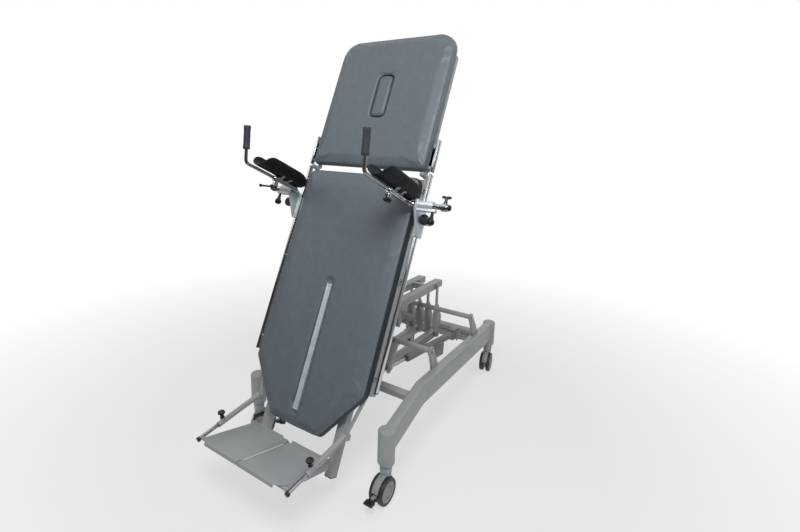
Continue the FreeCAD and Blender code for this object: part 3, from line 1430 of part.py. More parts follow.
def rail_clamp():
    """Clamp on the rail with a sleeve for the arm tube and two screw bosses."""
    near = "(rail_inner + rail_wall + clamp_gap)"
    far = f"({near} + clamp_wall)"
    lip_in = "(rail_inner - clamp_gap - clamp_lip)"
    front, back = "(rail_front - clamp_gap)", "(rail_front + rail_depth + clamp_gap)"
    ups = (CLAMP_LOW, CLAMP_HIGH)
    nose_low, nose_high = "(sleeve_up - clamp_nose_half)", "(sleeve_up + clamp_nose_half)"
    solids = [outline("ClampPlate", "YZ", [
        (f"{back} + clamp_jaw", CLAMP_LOW),
        (f"{back} + clamp_jaw", CLAMP_HIGH),
        ("sleeve_back + clamp_nose_half", nose_high),
        ("sleeve_back - clamp_nose_half", nose_high),
        ("sleeve_back - clamp_nose_half", nose_low),
        (f"{front} - clamp_jaw", CLAMP_LOW)], near, far)]
    solids += [
        block("JawFront", (lip_in, far), (f"{front} - clamp_jaw", front), ups),
        block("JawRear", (lip_in, far), (back, f"{back} + clamp_jaw"), ups),
        block("LipFront", (lip_in, f"{lip_in} + clamp_lip"),
              (f"{front} - clamp_jaw", f"{front} + clamp_lip_reach"), ups),
        block("LipRear", (lip_in, f"{lip_in} + clamp_lip"),
              (f"{back} - clamp_lip_reach", f"{back} + clamp_jaw"), ups),
        bar("Sleeve", "x", ("sleeve_back", "sleeve_up"), "sleeve_radius", near, "sleeve_end"),
        block("Tongue", (near, "tongue_end"),
              ("sleeve_back - tongue_half", "sleeve_back + tongue_half"),
              ("sleeve_up - tongue_low", "sleeve_up - tongue_low + tongue_wall")),
        block("DiscBoss", (near, "disc_knob_side + disc_boss_half"),
              ("disc_boss_front", "disc_boss_rear"),
              (f"{KNOB_UP} - disc_boss_half", f"{KNOB_UP} + disc_boss_half"))]
    bores = [
        bar("SleeveBore", "x", ("sleeve_back", "sleeve_up"), "arm_radius + pin_gap",
            f"{near} - overrun", "tongue_end + overrun"),
        bar("DiscBore", "y", ("disc_knob_side", KNOB_UP), "disc_stem_radius + pin_gap",
            "disc_boss_front - overrun", "disc_boss_rear + overrun"),
        bar("MushroomBore", "z", ("mushroom_side", "sleeve_back"),
            "knob_stem_radius + pin_gap", "sleeve_up - tongue_low - overrun",
            "sleeve_up - arm_radius")]
    clamp = cut("RailClamp", fuse("RailClampSolid", solids), bores)
    knob = fuse("ClampKnob", [
        bar("ClampKnobDisc", "y", ("disc_knob_side", KNOB_UP), "disc_knob_radius",
            "disc_boss_front - seat_gap - disc_knob_height", "disc_boss_front - seat_gap"),
        bar("ClampKnobStem", "y", ("disc_knob_side", KNOB_UP), "disc_stem_radius",
            "disc_boss_front - side_gap", "disc_boss_rear")])
    low = "(sleeve_up - tongue_low)"
    at = ("mushroom_side", "sleeve_back")
    mushroom = fuse("SleeveKnob", [
        bar("SleeveKnobStem", "z", at, "knob_stem_radius", f"{low} - mushroom_drop",
            "sleeve_up - arm_radius - seat_gap"),
        bar("SleeveKnobHead", "z", at, "mushroom_radius",
            f"{low} - mushroom_drop - mushroom_height / 2", f"{low} - mushroom_drop"),
        cone("SleeveKnobSkirt", at, "mushroom_radius", "knob_stem_radius + side_gap",
             f"{low} - mushroom_drop", f"{low} - seat_gap"),
        cone("SleeveKnobCap", at, "mushroom_radius / 2", "mushroom_radius",
             f"{low} - mushroom_drop - mushroom_height",
             f"{low} - mushroom_drop - mushroom_height / 2")])
    at = ("tee_side", "sleeve_back")
    tee = fuse("TeeKnob", [
        bar("TeeStem", "z", at, "knob_stem_radius", "sleeve_up + arm_radius + seat_gap",
            "sleeve_up + tee_rise"),
        bar("TeeBar", "x", ("sleeve_back", "sleeve_up + tee_rise"), "tee_bar_radius",
            "tee_side - tee_half", "tee_side + tee_half")])
    for label, obj in (("rail_clamp", clamp), ("clamp_knob", knob),
                       ("sleeve_knob", mushroom), ("tee_knob", tee)):
        on_table(label + "_right", obj)
        mirrored(label + "_left", obj)


def arm_tube():
    """Bent tube: across through the sleeve, then forward above the cushion's edge."""
    bend_x = "(arm_side + arm_bend)"
    bend_y = "(sleeve_back - arm_bend)"
    bend = doc.addObject("Part::Torus", "ArmBend")
    bend.Angle3 = 90
    bind(bend, "Radius1", "arm_bend")
    bind(bend, "Radius2", "arm_radius")
    turn_about(bend, "z", "90")
    move(bend, x=bend_x, y=bend_y, z="sleeve_up")
    collar_rear = "arm_nose + lock_collar_length"
    solids = [
        bend,
        bar("ArmAcross", "x", ("sleeve_back", "sleeve_up"), "arm_radius", bend_x, "arm_end"),
        bar("ArmCap", "x", ("sleeve_back", "sleeve_up"), "arm_cap_radius",
            "arm_end - arm_cap", "arm_end + arm_cap"),
        bar("ArmForward", "y", ("arm_side", "sleeve_up"), "arm_radius", "arm_nose", bend_y),
        bar("ArmCollar", "y", ("arm_side", "sleeve_up"), "lock_collar_radius", "arm_nose",
            collar_rear),
        bar("ArmLockBoss", "z", ("arm_side", "arm_nose + lock_collar_length / 2"),
            "lock_boss_radius", "sleeve_up - lock_boss_drop", "sleeve_up"),
        bar("TeeCollar", "x", ("sleeve_back", "sleeve_up"), "tee_collar_radius",
            "tee_side - tee_collar_half", "tee_side + tee_collar_half")]
    bores = [
        bar("ArmBore", "y", ("arm_side", "sleeve_up"), "grip_rod_radius + pin_gap",
            "arm_nose - overrun", "arm_bore_end"),
        bar("LockBore", "z", ("arm_side", "arm_nose + lock_collar_length / 2"),
            "knob_stem_radius + pin_gap", "sleeve_up - lock_boss_drop - overrun",
            "sleeve_up - grip_rod_radius"),
        bar("TeeBore", "z", ("tee_side", "sleeve_back"), "knob_stem_radius + pin_gap",
            "sleeve_up + arm_radius", "sleeve_up + tee_collar_radius + overrun")]
    right = cut("ArmTube", fuse("ArmTubeSolid", solids), bores)
    on_table("arm_tube_right", right)
    mirrored("arm_tube_left", right)


def arm_gutter():
    """Forearm trough on a saddle above the arm tube."""
    at = ("arm_side", f"{GUTTER_LOW} + gutter_radius")
    ys = ("gutter_front", "gutter_rear")
    left, right = "arm_side - gutter_radius", "arm_side + gutter_radius"
    round_part = bar("GutterRound", "y", at, "gutter_radius", *ys)
    walls = block("GutterWalls", (left, right), ys, (at[1], GUTTER_HIGH))
    hollow = bar("GutterHollow", "y", at, "gutter_radius - gutter_wall",
                 "gutter_front - overrun", "gutter_rear + overrun")
    above = block("GutterOpen", (f"{left} + gutter_wall", f"{right} - gutter_wall"),
                  ("gutter_front - overrun", "gutter_rear + overrun"),
                  (at[1], f"{GUTTER_HIGH} + gutter_radius + overrun"))
    low_half = block("GutterLowHalf", (f"{left} - overrun", f"{right} + overrun"),
                     ("gutter_front - overrun", "gutter_rear + overrun"),
                     (f"{GUTTER_LOW} - overrun", at[1]))
    shell = cut("GutterShell", fuse("GutterSolid", [common("GutterBottom", [round_part, low_half]),
                                                    walls]), [hollow, above])
    saddle = block("GutterSaddle", ("arm_side - saddle_half", "arm_side + saddle_half"),
                   ("saddle_front", "saddle_rear"),
                   ("sleeve_up", f"{GUTTER_LOW} + gutter_wall / 2"))
    groove = bar("SaddleGroove", "y", ("arm_side", "sleeve_up"), "arm_radius + pin_gap",
                 "saddle_front - overrun", "saddle_rear + overrun")
    whole = fuse("ArmGutter", [shell, cut("GutterSaddleSeat", saddle, [groove])])
    on_table("arm_gutter_right", whole)
    mirrored("arm_gutter_left", whole)


def grip_rod():
    """Rod that slides in the arm tube and turns up into the hand grip."""
    corner = ("arm_side", "grip_rod_front", "sleeve_up")
    upright = fuse("GripUpright", [
        bar("GripStem", "z", ("0", "0"), "grip_rod_radius", "0", "grip_from"),
        bar("GripHandle", "z", ("0", "0"), "grip_radius", "grip_from + grip_rim",
            "grip_from + grip_length - grip_rim"),
        cone("GripFoot", ("0", "0"), "grip_radius - grip_rim", "grip_radius", "grip_from",
             "grip_from + grip_rim"),
        cone("GripTop", ("0", "0"), "grip_radius", "grip_radius - grip_rim",
             "grip_from + grip_length - grip_rim", "grip_from + grip_length")])
    turn_about(upright, "x", "grip_lean")
    move(upright, *corner)
    right = fuse("GripRod", [
        bar("GripSlide", "y", ("arm_side", "sleeve_up"), "grip_rod_radius", "grip_rod_front",
            "grip_rod_rear"),
        ball("GripBend", corner, "grip_rod_radius"),
        upright])
    on_table("grip_rod_right", right)
    mirrored("grip_rod_left", right)


def lock_knob(side, word):
    """Screw below the arm tube's nose with a long lever."""
    name = "Lock" + word.title()
    at = (f"{side} * arm_side", "arm_nose + lock_collar_length / 2")
    top = "(sleeve_up - lock_boss_drop - seat_gap)"
    lever = fuse(name + "Lever", [
        bar(name + "Rod", "x", ("0", "0"), "lock_lever_radius", "0", "lock_lever_length"),
        ball(name + "Ball", ("lock_lever_length", "0", "0"), "lock_lever_ball")])
    turn_about(lever, "z", "lock_lever_turn_" + word)
    move(lever, *at, f"{top} - lock_disc_height / 2")
    on_table("lock_knob_" + word, fuse(name + "Knob", [
        bar(name + "Stem", "z", at, "knob_stem_radius", f"{top} - side_gap",
            "sleeve_up - grip_rod_radius - seat_gap"),
        bar(name + "Disc", "z", at, "lock_disc_radius", f"{top} - lock_disc_height", top),
        lever]))


def build():
    beams = [beam(1), beam(-1)]
    base_beam(1, beams[0])
    base_beam(-1, beams[1])
    cross_members(beams)
    control_box()
    castors()
    cranks()
    connecting_rods()
    lift_frame()
    lift_actuator()
    tilt_actuator()
    frame_side()
    rail()
    frame_cross_tubes()
    body_cushion()
    head_cushion()
    head_frame()
    gas_spring()
    footrest_frame()
    footplate()
    struts()
    rail_clamp()
    arm_tube()
    arm_gutter()
    grip_rod()
    for side, word in ((1, "right"), (-1, "left")):
        lock_knob(side, word)


def write():
    """Check every object and each sub-part, then export."""
    doc.recompute()
    faults = [o.Name for o in doc.Objects if {"Invalid", "Error"} & set(o.State)]
    for obj in nodes:
        if obj.Shape.isNull() or not obj.Shape.isValid() or not obj.Shape.Solids:
            faults.append(obj.Label)
    if faults:
        raise SystemExit("faulty: " + ", ".join(faults))
    os.makedirs("parts", exist_ok=True)
    for obj in nodes:
        obj.Shape.exportStep(f"parts/{obj.Label}.step")
        box = obj.Shape.BoundBox
        print(f"{obj.Label:28s} solids {len(obj.Shape.Solids)} volume {obj.Shape.Volume:12.0f}"
              f"  x {box.XMin:7.0f} {box.XMax:7.0f}  y {box.YMin:7.0f} {box.YMax:7.0f}"
              f"  z {box.ZMin:7.0f} {box.ZMax:7.0f}")
    print(len(nodes), "sub-parts")


build()
write()
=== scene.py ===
import math

import bmesh
import bpy
from bpy.props import FloatProperty, FloatVectorProperty, IntProperty, PointerProperty
from mathutils import Matrix, Vector, noise


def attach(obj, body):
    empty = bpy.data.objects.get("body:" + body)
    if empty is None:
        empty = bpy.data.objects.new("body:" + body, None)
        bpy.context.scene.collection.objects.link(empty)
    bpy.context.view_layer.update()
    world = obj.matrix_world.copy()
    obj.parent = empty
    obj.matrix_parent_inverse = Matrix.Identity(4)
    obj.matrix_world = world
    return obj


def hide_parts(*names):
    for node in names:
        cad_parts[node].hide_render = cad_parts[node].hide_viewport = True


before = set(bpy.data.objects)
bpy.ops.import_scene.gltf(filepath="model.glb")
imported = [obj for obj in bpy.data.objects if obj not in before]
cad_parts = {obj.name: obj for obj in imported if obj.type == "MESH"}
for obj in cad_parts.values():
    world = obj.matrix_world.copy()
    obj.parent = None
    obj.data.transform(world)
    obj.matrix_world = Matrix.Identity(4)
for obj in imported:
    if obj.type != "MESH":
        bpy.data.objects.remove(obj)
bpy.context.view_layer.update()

bl_info = {
    "name": "Tilt Table",
    "version": (1, 0, 0),
    "blender": (4, 5, 0),
    "location": "3D View > Sidebar > Tilt Table",
    "description": "Dresses the tilt table's frame with upholstery, paint, chrome and castors",
    "category": "Object",
}

MM = 0.001
SIDES = ((1, "right"), (-1, "left"))
# Side and end of the base, and the swivel in degrees
CASTORS = {
    "front_right": (1, -1, 180.0),
    "front_left": (-1, -1, -53.9),
    "rear_right": (1, 1, 190.0),
    "rear_left": (-1, 1, 192.8),
}
# Turn of the lever on each lock knob, in degrees
LOCK_TURNS = {"right": -62.0, "left": 180.0}

# Lengths of the CAD in millimetres. The base: its middle; the beams' middle, half length
# and taper in degrees; the torsion tubes and their height, and those of the cranks' upper
# and lower pins; the wheels' radius and trail
BASE_Y = 225
BEAM_X, BEAM_HALF, BEAM_TAPER = 357.5, 720, 3.86
FRONT_TUBE, REAR_TUBE, TUBE_Z, UPPER_Z, LOWER_Z = -213, 346, 500, 650, 316
WHEEL, TRAIL = 62.5, 24
# In the tabletop's frame: u across, n behind the face, v up along it. The cushions' back,
# and where the side wall's painted shade and the backing cloth begin; the ends of the strip;
# the middle, half width, half length and corner of the face plug
BACK, SHADED_WALL_FROM, CLOTH_FROM = 55.5, 13, 54.2
STRIP_LOW, STRIP_HIGH = 77, 670
PLUG_V, PLUG_U_HALF, PLUG_V_HALF, PLUG_CORNER = 1651, 42, 114, 25
# The same for the armrest: the trough's middle, the sleeve, the arm's height, the tee knob
# and the lock knob; and the strut's pivot on the tabletop
ARM_U, ARM_N, ARM_V, TEE_U, LOCK_N = 333, -28, 1097, 505, -208
STRUT_U, STRUT_N, STRUT_V = 270, 40, 50


def linear(text):
    """An sRGB hex colour as linear red, green and blue."""
    shares = [int(text[i:i + 2], 16) / 255 for i in (1, 3, 5)]
    return tuple(c / 12.92 if c <= 0.04045 else ((c + 0.055) / 1.055) ** 2.4 for c in shares)


# Frames of reference

BASE = Matrix.Translation((0, BASE_Y * MM, 0))
LEAN_BACK = 25
TABLE = (Matrix.Translation((0, -678.759 * MM, 293.181 * MM))
         @ Matrix.Rotation(math.radians(-LEAN_BACK), 4, "X"))
# Local z of a form along the row's X, Y or Z
ALONG_X = Matrix(((0, 0, 1, 0), (1, 0, 0, 0), (0, 1, 0, 0), (0, 0, 0, 1)))
ALONG_Y = Matrix(((1, 0, 0, 0), (0, 0, 1, 0), (0, -1, 0, 0), (0, 0, 0, 1)))
# Local z of a form towards the cushion's face, local y up along the table
FACING = Matrix(((1, 0, 0, 0), (0, 0, -1, 0), (0, 1, 0, 0), (0, 0, 0, 1)))


def castor_place(side, end):
    """Point on the floor under a castor's housing, in millimetres."""
    taper = math.radians(BEAM_TAPER)
    return (side * (BEAM_X - end * BEAM_HALF * math.sin(taper)),
            BASE_Y + end * BEAM_HALF * math.cos(taper))


def place(x=0.0, y=0.0, z=0.0):
    """A shift in millimetres."""
    return Matrix.Translation((x * MM, y * MM, z * MM))


def spun(degrees, axis="Z"):
    """A rotation about an axis of the frame."""
    return Matrix.Rotation(math.radians(degrees), 4, axis)


def outward(side):
    """Local z of a form along the row's X, away from the table's middle."""
    return ALONG_X if side > 0 else ALONG_X @ spun(180, "X")


# Small steps that every piece takes

def limited(value):
    """A value held between 0 and 1."""
    return min(1.0, max(0.0, value))


def bowl(reach):
    """1 at the bottom of a dent, and 0 at its rim, where the reach is 1."""
    return 0.5 + 0.5 * math.cos(math.pi * reach)


def linked(name, data):
    """A new object in the scene."""
    obj = bpy.data.objects.new(name, data)
    bpy.context.scene.collection.objects.link(obj)
    return obj


def meshed(form, name):
    """A form turned into a mesh, and freed."""
    data = bpy.data.meshes.new(name)
    form.to_mesh(data)
    form.free()
    return data


def applied(obj):
    """The mesh that an object's modifiers make."""
    bpy.context.view_layer.update()
    return bpy.data.meshes.new_from_object(
        obj.evaluated_get(bpy.context.evaluated_depsgraph_get()))


# Forms: small meshes in millimetres that a piece collects

def slab(outline, low, high, edge=0.0, steps=2):
    """An outline in the local xy plane, thick along z, with its edges rounded."""
    form = bmesh.new()
    lower = [form.verts.new((x, y, low)) for x, y in outline]
    upper = [form.verts.new((x, y, high)) for x, y in outline]
    form.faces.new(reversed(lower))
    form.faces.new(upper)
    for i in range(len(outline)):
        form.faces.new((lower[i - 1], lower[i], upper[i], upper[i - 1]))
    bmesh.ops.recalc_face_normals(form, faces=form.faces)
    if edge:
        sharp = [e for e in form.edges if e.calc_face_angle(0) > math.radians(32)]
        bmesh.ops.bevel(form, geom=sharp, offset=edge, segments=steps, profile=0.5,
                        affect="EDGES", clamp_overlap=True)
    return form


def rectangle(x0, x1, y0, y1):
    return [(x0, y0), (x1, y0), (x1, y1), (x0, y1)]


def rounded(outline, radii, steps=6):
    """The outline with each corner turned into an arc."""
    if isinstance(radii, (int, float)):
        radii = [radii] * len(outline)
    points = []
    for i, corner in enumerate(outline):
        here = Vector(corner)
        before = (Vector(outline[i - 1]) - here)
        after = (Vector(outline[(i + 1) % len(outline)]) - here)
        if radii[i] <= 0:
            points.append(tuple(here))
            continue
        opening = before.angle(after)
        reach = min(radii[i] / math.tan(opening / 2), before.length * 0.49, after.length * 0.49)
        radius = reach * math.tan(opening / 2)
        b, a = before.normalized(), after.normalized()
        centre = here + (b + a).normalized() * (radius / math.sin(opening / 2))
        start, end = here + b * reach - centre, here + a * reach - centre
        turn = start.angle_signed(end)
        for k in range(steps + 1):
            angle = -turn * k / steps
            c, s = math.cos(angle), math.sin(angle)
            points.append((centre.x + start.x * c - start.y * s,
                           centre.y + start.x * s + start.y * c))
    return points


def turned(profile, steps=40, lobes=0, depth=0.0):
    """A half outline of radius and height turned about z, with optional lobes round it."""
    form = bmesh.new()
    rings = []
    for radius, height in profile:
        if radius < 1e-6:
            rings.append([form.verts.new((0, 0, height))])
            continue
        ring = []
        for k in range(steps):
            angle = 2 * math.pi * k / steps
            r = radius - depth * (0.5 - 0.5 * math.cos(lobes * angle))
            ring.append(form.verts.new((r * math.cos(angle), r * math.sin(angle), height)))
        rings.append(ring)
    for lower, upper in zip(rings, rings[1:]):
        for k in range(steps):
            m = (k + 1) % steps
            if len(lower) == 1 and len(upper) > 1:
                form.faces.new((lower[0], upper[m], upper[k]))
            elif len(upper) == 1 and len(lower) > 1:
                form.faces.new((lower[k], lower[m], upper[0]))
            elif len(lower) > 1:
                form.faces.new((lower[k], lower[m], upper[m], upper[k]))
    for ring, flip in ((rings[0], True), (rings[-1], False)):
        if len(ring) > 1:
            form.faces.new(reversed(ring) if flip else ring)
    bmesh.ops.recalc_face_normals(form, faces=form.faces)
    return form


def ring_of(profile, steps=40):
    """A closed section of radius and height turned about z into a ring."""
    form = bmesh.new()
    rings = []
    for k in range(steps):
        angle = 2 * math.pi * k / steps
        rings.append([form.verts.new((r * math.cos(angle), r * math.sin(angle), h))
                      for r, h in profile])
    for k in range(steps):
        near, far = rings[k], rings[(k + 1) % steps]
        for i in range(len(profile)):
            form.faces.new((near[i - 1], near[i], far[i], far[i - 1]))
    bmesh.ops.recalc_face_normals(form, faces=form.faces)
    return form


def swept(points, radius, steps=20, flat=None):
    """A round or flattened bar along a path."""
    form = bmesh.new()
    line = [Vector(p) for p in points]
    tangents = [(line[min(i + 1, len(line) - 1)] - line[max(i - 1, 0)]).normalized()
                for i in range(len(line))]
    side = tangents[0].orthogonal().normalized()
    rings = []
    for point, along in zip(line, tangents):
        side = (side - along * side.dot(along)).normalized()
        up = along.cross(side)
        rings.append([form.verts.new(point + side * radius * math.cos(a)
                                     + up * (flat or radius) * math.sin(a))
                      for a in (2 * math.pi * k / steps for k in range(steps))])
    for near, far in zip(rings, rings[1:]):
        for k in range(steps):
            form.faces.new((near[k - 1], near[k], far[k], far[k - 1]))
    form.faces.new(reversed(rings[0]))
    form.faces.new(rings[-1])
    bmesh.ops.recalc_face_normals(form, faces=form.faces)
    return form


def bent(points, radius, steps=10):
    """A path with its corners turned into arcs."""
    line = [Vector(p) for p in points]
    path = [line[0]]
    for before, here, after in zip(line, line[1:], line[2:]):
        b, a = (before - here).normalized(), (after - here).normalized()
        opening = b.angle(a)
        reach = radius / math.tan(opening / 2)
        centre = here + (b + a).normalized() * (radius / math.sin(opening / 2))
        start, end = here + b * reach - centre, here + a * reach - centre
        for k in range(steps + 1):
            share = k / steps
            angle = start.angle(end)
            path.append(centre + (start * math.sin((1 - share) * angle)
                                  + end * math.sin(share * angle)) / math.sin(angle))
    path.append(line[-1])
    return path


def circle(radius, count):
    """Points at even steps round a circle."""
    return [(radius * math.cos(angle), radius * math.sin(angle))
            for angle in (2 * math.pi * k / count for k in range(count))]


def pin(radius, low, high, steps=24):
    """A plain round pin along z."""
    return turned([(0, low), (radius, low), (radius, high), (0, high)], steps)


def bolt(radius, height):
    """Hexagon head with a chamfered crown on a washer."""
    return [slab(circle(radius, 6), 1.2, height, radius * 0.12, 1),
            pin(radius * 1.25, 0, 1.2, 28)]


def screw(radius, height):
    """Button head with a hexagon socket."""
    return [turned([(0, 0), (radius, 0), (radius, height * 0.35), (radius * 0.82, height * 0.8),
                    (radius * 0.5, height), (radius * 0.42, height * 0.95),
                    (radius * 0.40, height * 0.4), (0, height * 0.4)], 24)]


class Piece:
    """Collects forms in the row frame and becomes one object."""

    def __init__(self, name, at=None):
        self.name = name
        self.at = at if at is not None else Matrix()
        self.mesh = bmesh.new()
        self.finishes = []

    def add(self, forms, finish, matrix=None, scale=MM):
        if not isinstance(forms, (list, tuple)):
            forms = [forms]
        if finish not in self.finishes:
            self.finishes.append(finish)
        index = self.finishes.index(finish)
        where = self.at @ (matrix if matrix is not None else Matrix())
        for form in forms:
            if isinstance(form, bmesh.types.BMesh):
                data = bpy.data.meshes.new("form")
                form.to_mesh(data)
            else:
                data = form.copy()
            data.transform(where @ Matrix.Scale(scale, 4))
            count = len(self.mesh.faces)
            self.mesh.from_mesh(data)
            self.mesh.faces.ensure_lookup_table()
            for face in self.mesh.faces[count:]:
                face.material_index = index
            bpy.data.meshes.remove(data)
        return self

    def done(self, body, slot, *nodes, angle=34, mirror=False):
        data = bpy.data.meshes.new(self.name)
        if mirror:
            bmesh.ops.scale(self.mesh, vec=(-1, 1, 1), verts=self.mesh.verts)
            bmesh.ops.reverse_faces(self.mesh, faces=self.mesh.faces)
        self.mesh.to_mesh(data)
        self.mesh.free()
        for finish in self.finishes:
            data.materials.append(material(finish))
        return settle(self.name, data, body, nodes, angle)


def settle(name, data, body, nodes, angle=34):
    """Shades a mesh, puts it in the scene on its body and hides the nodes it stands for."""
    for polygon in data.polygons:
        polygon.use_smooth = True
    data.set_sharp_from_angle(angle=math.radians(angle))
    obj = linked(name, data)
    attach(obj, body)
    if nodes:
        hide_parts(*nodes)
    return obj


def welded(node):
    """A copy of a CAD node's mesh, and a form of it with its doubled corners joined."""
    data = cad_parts[node].data.copy()
    form = bmesh.new()
    form.from_mesh(data)
    bmesh.ops.remove_doubles(form, verts=form.verts, dist=2e-5)
    return data, form


def edged(node, edge, finish, regions=()):
    """A copy of a CAD node with its edges broken and its parts in their own finishes."""
    data, form = welded(node)
    bmesh.ops.dissolve_limit(form, angle_limit=math.radians(0.8), verts=form.verts,
                             edges=form.edges)
    finishes = [finish] + [f for f, _ in regions]
    # Clearing the slots also resets every face, so it comes before the faces are sorted
    data.materials.clear()
    for entry in finishes:
        data.materials.append(material(entry))
    for face in form.faces:
        face.material_index = 0
        centre = face.calc_center_median()
        for k, (_, test) in enumerate(regions, 1):
            if test(centre):
                face.material_index = k
    form.to_mesh(data)
    form.free()
    holder = linked("holder", data)
    bevel = holder.modifiers.new("Broken edge", "BEVEL")
    bevel.width = edge * MM
    bevel.segments = 2
    bevel.limit_method = "ANGLE"
    bevel.angle_limit = math.radians(38)
    bevel.use_clamp_overlap = False
    made = applied(holder)
    bpy.data.objects.remove(holder)
    piece = Piece(node + "_finished")
    piece.finishes = list(finishes)
    piece.mesh.from_mesh(made)
    bpy.data.meshes.remove(made)
    return piece


def carried(node, body, slot, edge, finish, regions=()):
    """A piece that is its CAD node with broken edges, and nothing added."""
    return edged(node, edge, finish, regions).done(body, slot, node)


def hand_screw(side, word, label, node, at, *parts):
    """A knob on its screw; the left one is the right one mirrored."""
    piece = Piece(label + word, TABLE @ at)
    for part in parts:
        piece.add(*part)
    return piece.done(node + word, "black_plastic", node + word, mirror=side < 0)


# Repeats along a path

def add(tree, kind, values=(), links=()):
    """Adds a node; a value is a setting or an input's default, a link feeds an input."""
    node = tree.nodes.new(kind)
    for key, value in dict(values).items():
        if isinstance(key, str) and hasattr(node, key):
            setattr(node, key, value)
        else:
            node.inputs[key].default_value = value
    for key, output in dict(links).items():
        tree.links.new(output, node.inputs[key])
    return node


def repeat_tree():
    """Geometry nodes: one item at even steps along a path, turned to follow it."""
    tree = bpy.data.node_groups.get("Repeat along path")
    if tree:
        return tree
    tree = bpy.data.node_groups.new("Repeat along path", "GeometryNodeTree")
    for label, kind in (("Path", "NodeSocketGeometry"), ("Item", "NodeSocketObject"),
                        ("Count", "NodeSocketInt"), ("Finish", "NodeSocketMaterial")):
        tree.interface.new_socket(label, in_out="INPUT", socket_type=kind)
    tree.interface.new_socket("Pieces", in_out="OUTPUT", socket_type="NodeSocketGeometry")
    given = add(tree, "NodeGroupInput").outputs
    line = add(tree, "GeometryNodeResampleCurve", {},
               {"Curve": given["Path"], "Count": given["Count"]}).outputs["Curve"]
    tangent = add(tree, "GeometryNodeInputTangent").outputs["Tangent"]
    turn = add(tree, "FunctionNodeAlignRotationToVector", {"axis": "X", "pivot_axis": "Z"},
               {"Vector": tangent}).outputs["Rotation"]
    item = add(tree, "GeometryNodeObjectInfo", {}, {"Object": given["Item"]}).outputs["Geometry"]
    spread = add(tree, "GeometryNodeInstanceOnPoints", {},
                 {"Points": line, "Instance": item, "Rotation": turn}).outputs["Instances"]
    real = add(tree, "GeometryNodeRealizeInstances", {},
               {"Geometry": spread}).outputs["Geometry"]
    done = add(tree, "GeometryNodeSetMaterial", {},
               {"Geometry": real, "Material": given["Finish"]}).outputs["Geometry"]
    add(tree, "NodeGroupOutput", {}, {"Pieces": done})
    return tree


def repeated(points, closed, forms, count, finish):
    """Mesh of a form repeated along a path in the local xy plane, in millimetres."""
    source = Piece("item").add(forms, finish, scale=1)
    item = linked("item", meshed(source.mesh, "item"))
    curve = bpy.data.curves.new("path", "CURVE")
    curve.dimensions = "3D"
    spline = curve.splines.new("POLY")
    spline.points.add(len(points) - 1)
    for point, where in zip(spline.points, points):
        point.co = (where[0], where[1], where[2] if len(where) > 2 else 0, 1)
    spline.use_cyclic_u = closed
    path = linked("path", curve)
    modifier = path.modifiers.new("Repeats", "NODES")
    modifier.node_group = repeat_tree()
    sockets = {s.name: s.identifier for s in modifier.node_group.interface.items_tree
               if s.in_out == "INPUT"}
    modifier[sockets["Item"]] = item
    modifier[sockets["Count"]] = count
    modifier[sockets["Finish"]] = material(finish)
    made = applied(path)
    for obj in (item, path):
        bpy.data.objects.remove(obj)
    return made


# Finishes

FINISHES = {}


def material(key):
    """The finish of that name, made when a piece first asks for it."""
    if key not in FINISHES:
        settings, colour, (spread, spacing), (pitch, depth, more), rough = MAKERS[key]
        if not colour.startswith("#"):
            colour = tuple(getattr(bpy.context.scene.tilt_table_colours, colour))
        else:
            colour = linear(colour)
        FINISHES[key], *parts = started(key, **settings)
        clouded(*parts, colour, spread, spacing)
        grain(*parts, pitch, depth, **more)
        if rough:
            roughened(*parts, *rough)
    return FINISHES[key]


def emptied(owner):
    """The node tree of a new material or world, with nothing in it."""
    owner.use_nodes = True
    owner.node_tree.nodes.clear()
    return owner.node_tree


def started(label, **settings):
    """A material with its shader, and the object coordinates every pattern reads."""
    made = bpy.data.materials.new(label)
    tree = emptied(made)
    shader = add(tree, "ShaderNodeBsdfPrincipled", settings)
    add(tree, "ShaderNodeOutputMaterial", {}, {"Surface": shader.outputs["BSDF"]})
    where = add(tree, "ShaderNodeTexCoord").outputs["Object"]
    return made, tree, shader, where


def grain(tree, shader, where, spacing, depth, kind="noise", stretch=None):
    """Fine relief with its spacing and depth in millimetres."""
    if stretch:
        where = add(tree, "ShaderNodeMapping", {"Scale": stretch}, {"Vector": where}).outputs[0]
    if kind == "cells":
        pattern = add(tree, "ShaderNodeTexVoronoi", {"Scale": 1 / (spacing * MM)},
                      {"Vector": where}).outputs["Distance"]
    else:
        pattern = add(tree, "ShaderNodeTexNoise",
                      {"Scale": 1 / (spacing * MM), "Detail": 3.0},
                      {"Vector": where}).outputs["Fac"]
    relief = add(tree, "ShaderNodeBump", {"Strength": 1.0, "Distance": depth * MM},
                 {"Height": pattern})
    tree.links.new(relief.outputs["Normal"], shader.inputs["Normal"])


def clouded(tree, shader, where, colour, spread, spacing):
    """Slow lightening and darkening of a colour over a spacing in millimetres."""
    cloud = add(tree, "ShaderNodeTexNoise", {"Scale": 1 / (spacing * MM), "Detail": 4.0},
                {"Vector": where}).outputs["Fac"]
    ramp = add(tree, "ShaderNodeValToRGB", {}, {"Fac": cloud})
    for stop, share, factor in zip(ramp.color_ramp.elements, (0.35, 0.65),
                                   (1 - spread, 1 + spread)):
        stop.position = share
        stop.color = (*[min(1, c * factor) for c in colour], 1)
    tree.links.new(ramp.outputs["Color"], shader.inputs["Base Color"])


def roughened(tree, shader, where, low, high, spacing):
    """Roughness that wanders between two values, as handling leaves it."""
    cloud = add(tree, "ShaderNodeTexNoise", {"Scale": 1 / (spacing * MM), "Detail": 5.0},
                {"Vector": where}).outputs["Fac"]
    span = add(tree, "ShaderNodeMapRange", {"From Min": 0.3, "From Max": 0.7,
                                            "To Min": low, "To Max": high},
               {"Value": cloud})
    tree.links.new(span.outputs["Result"], shader.inputs["Roughness"])


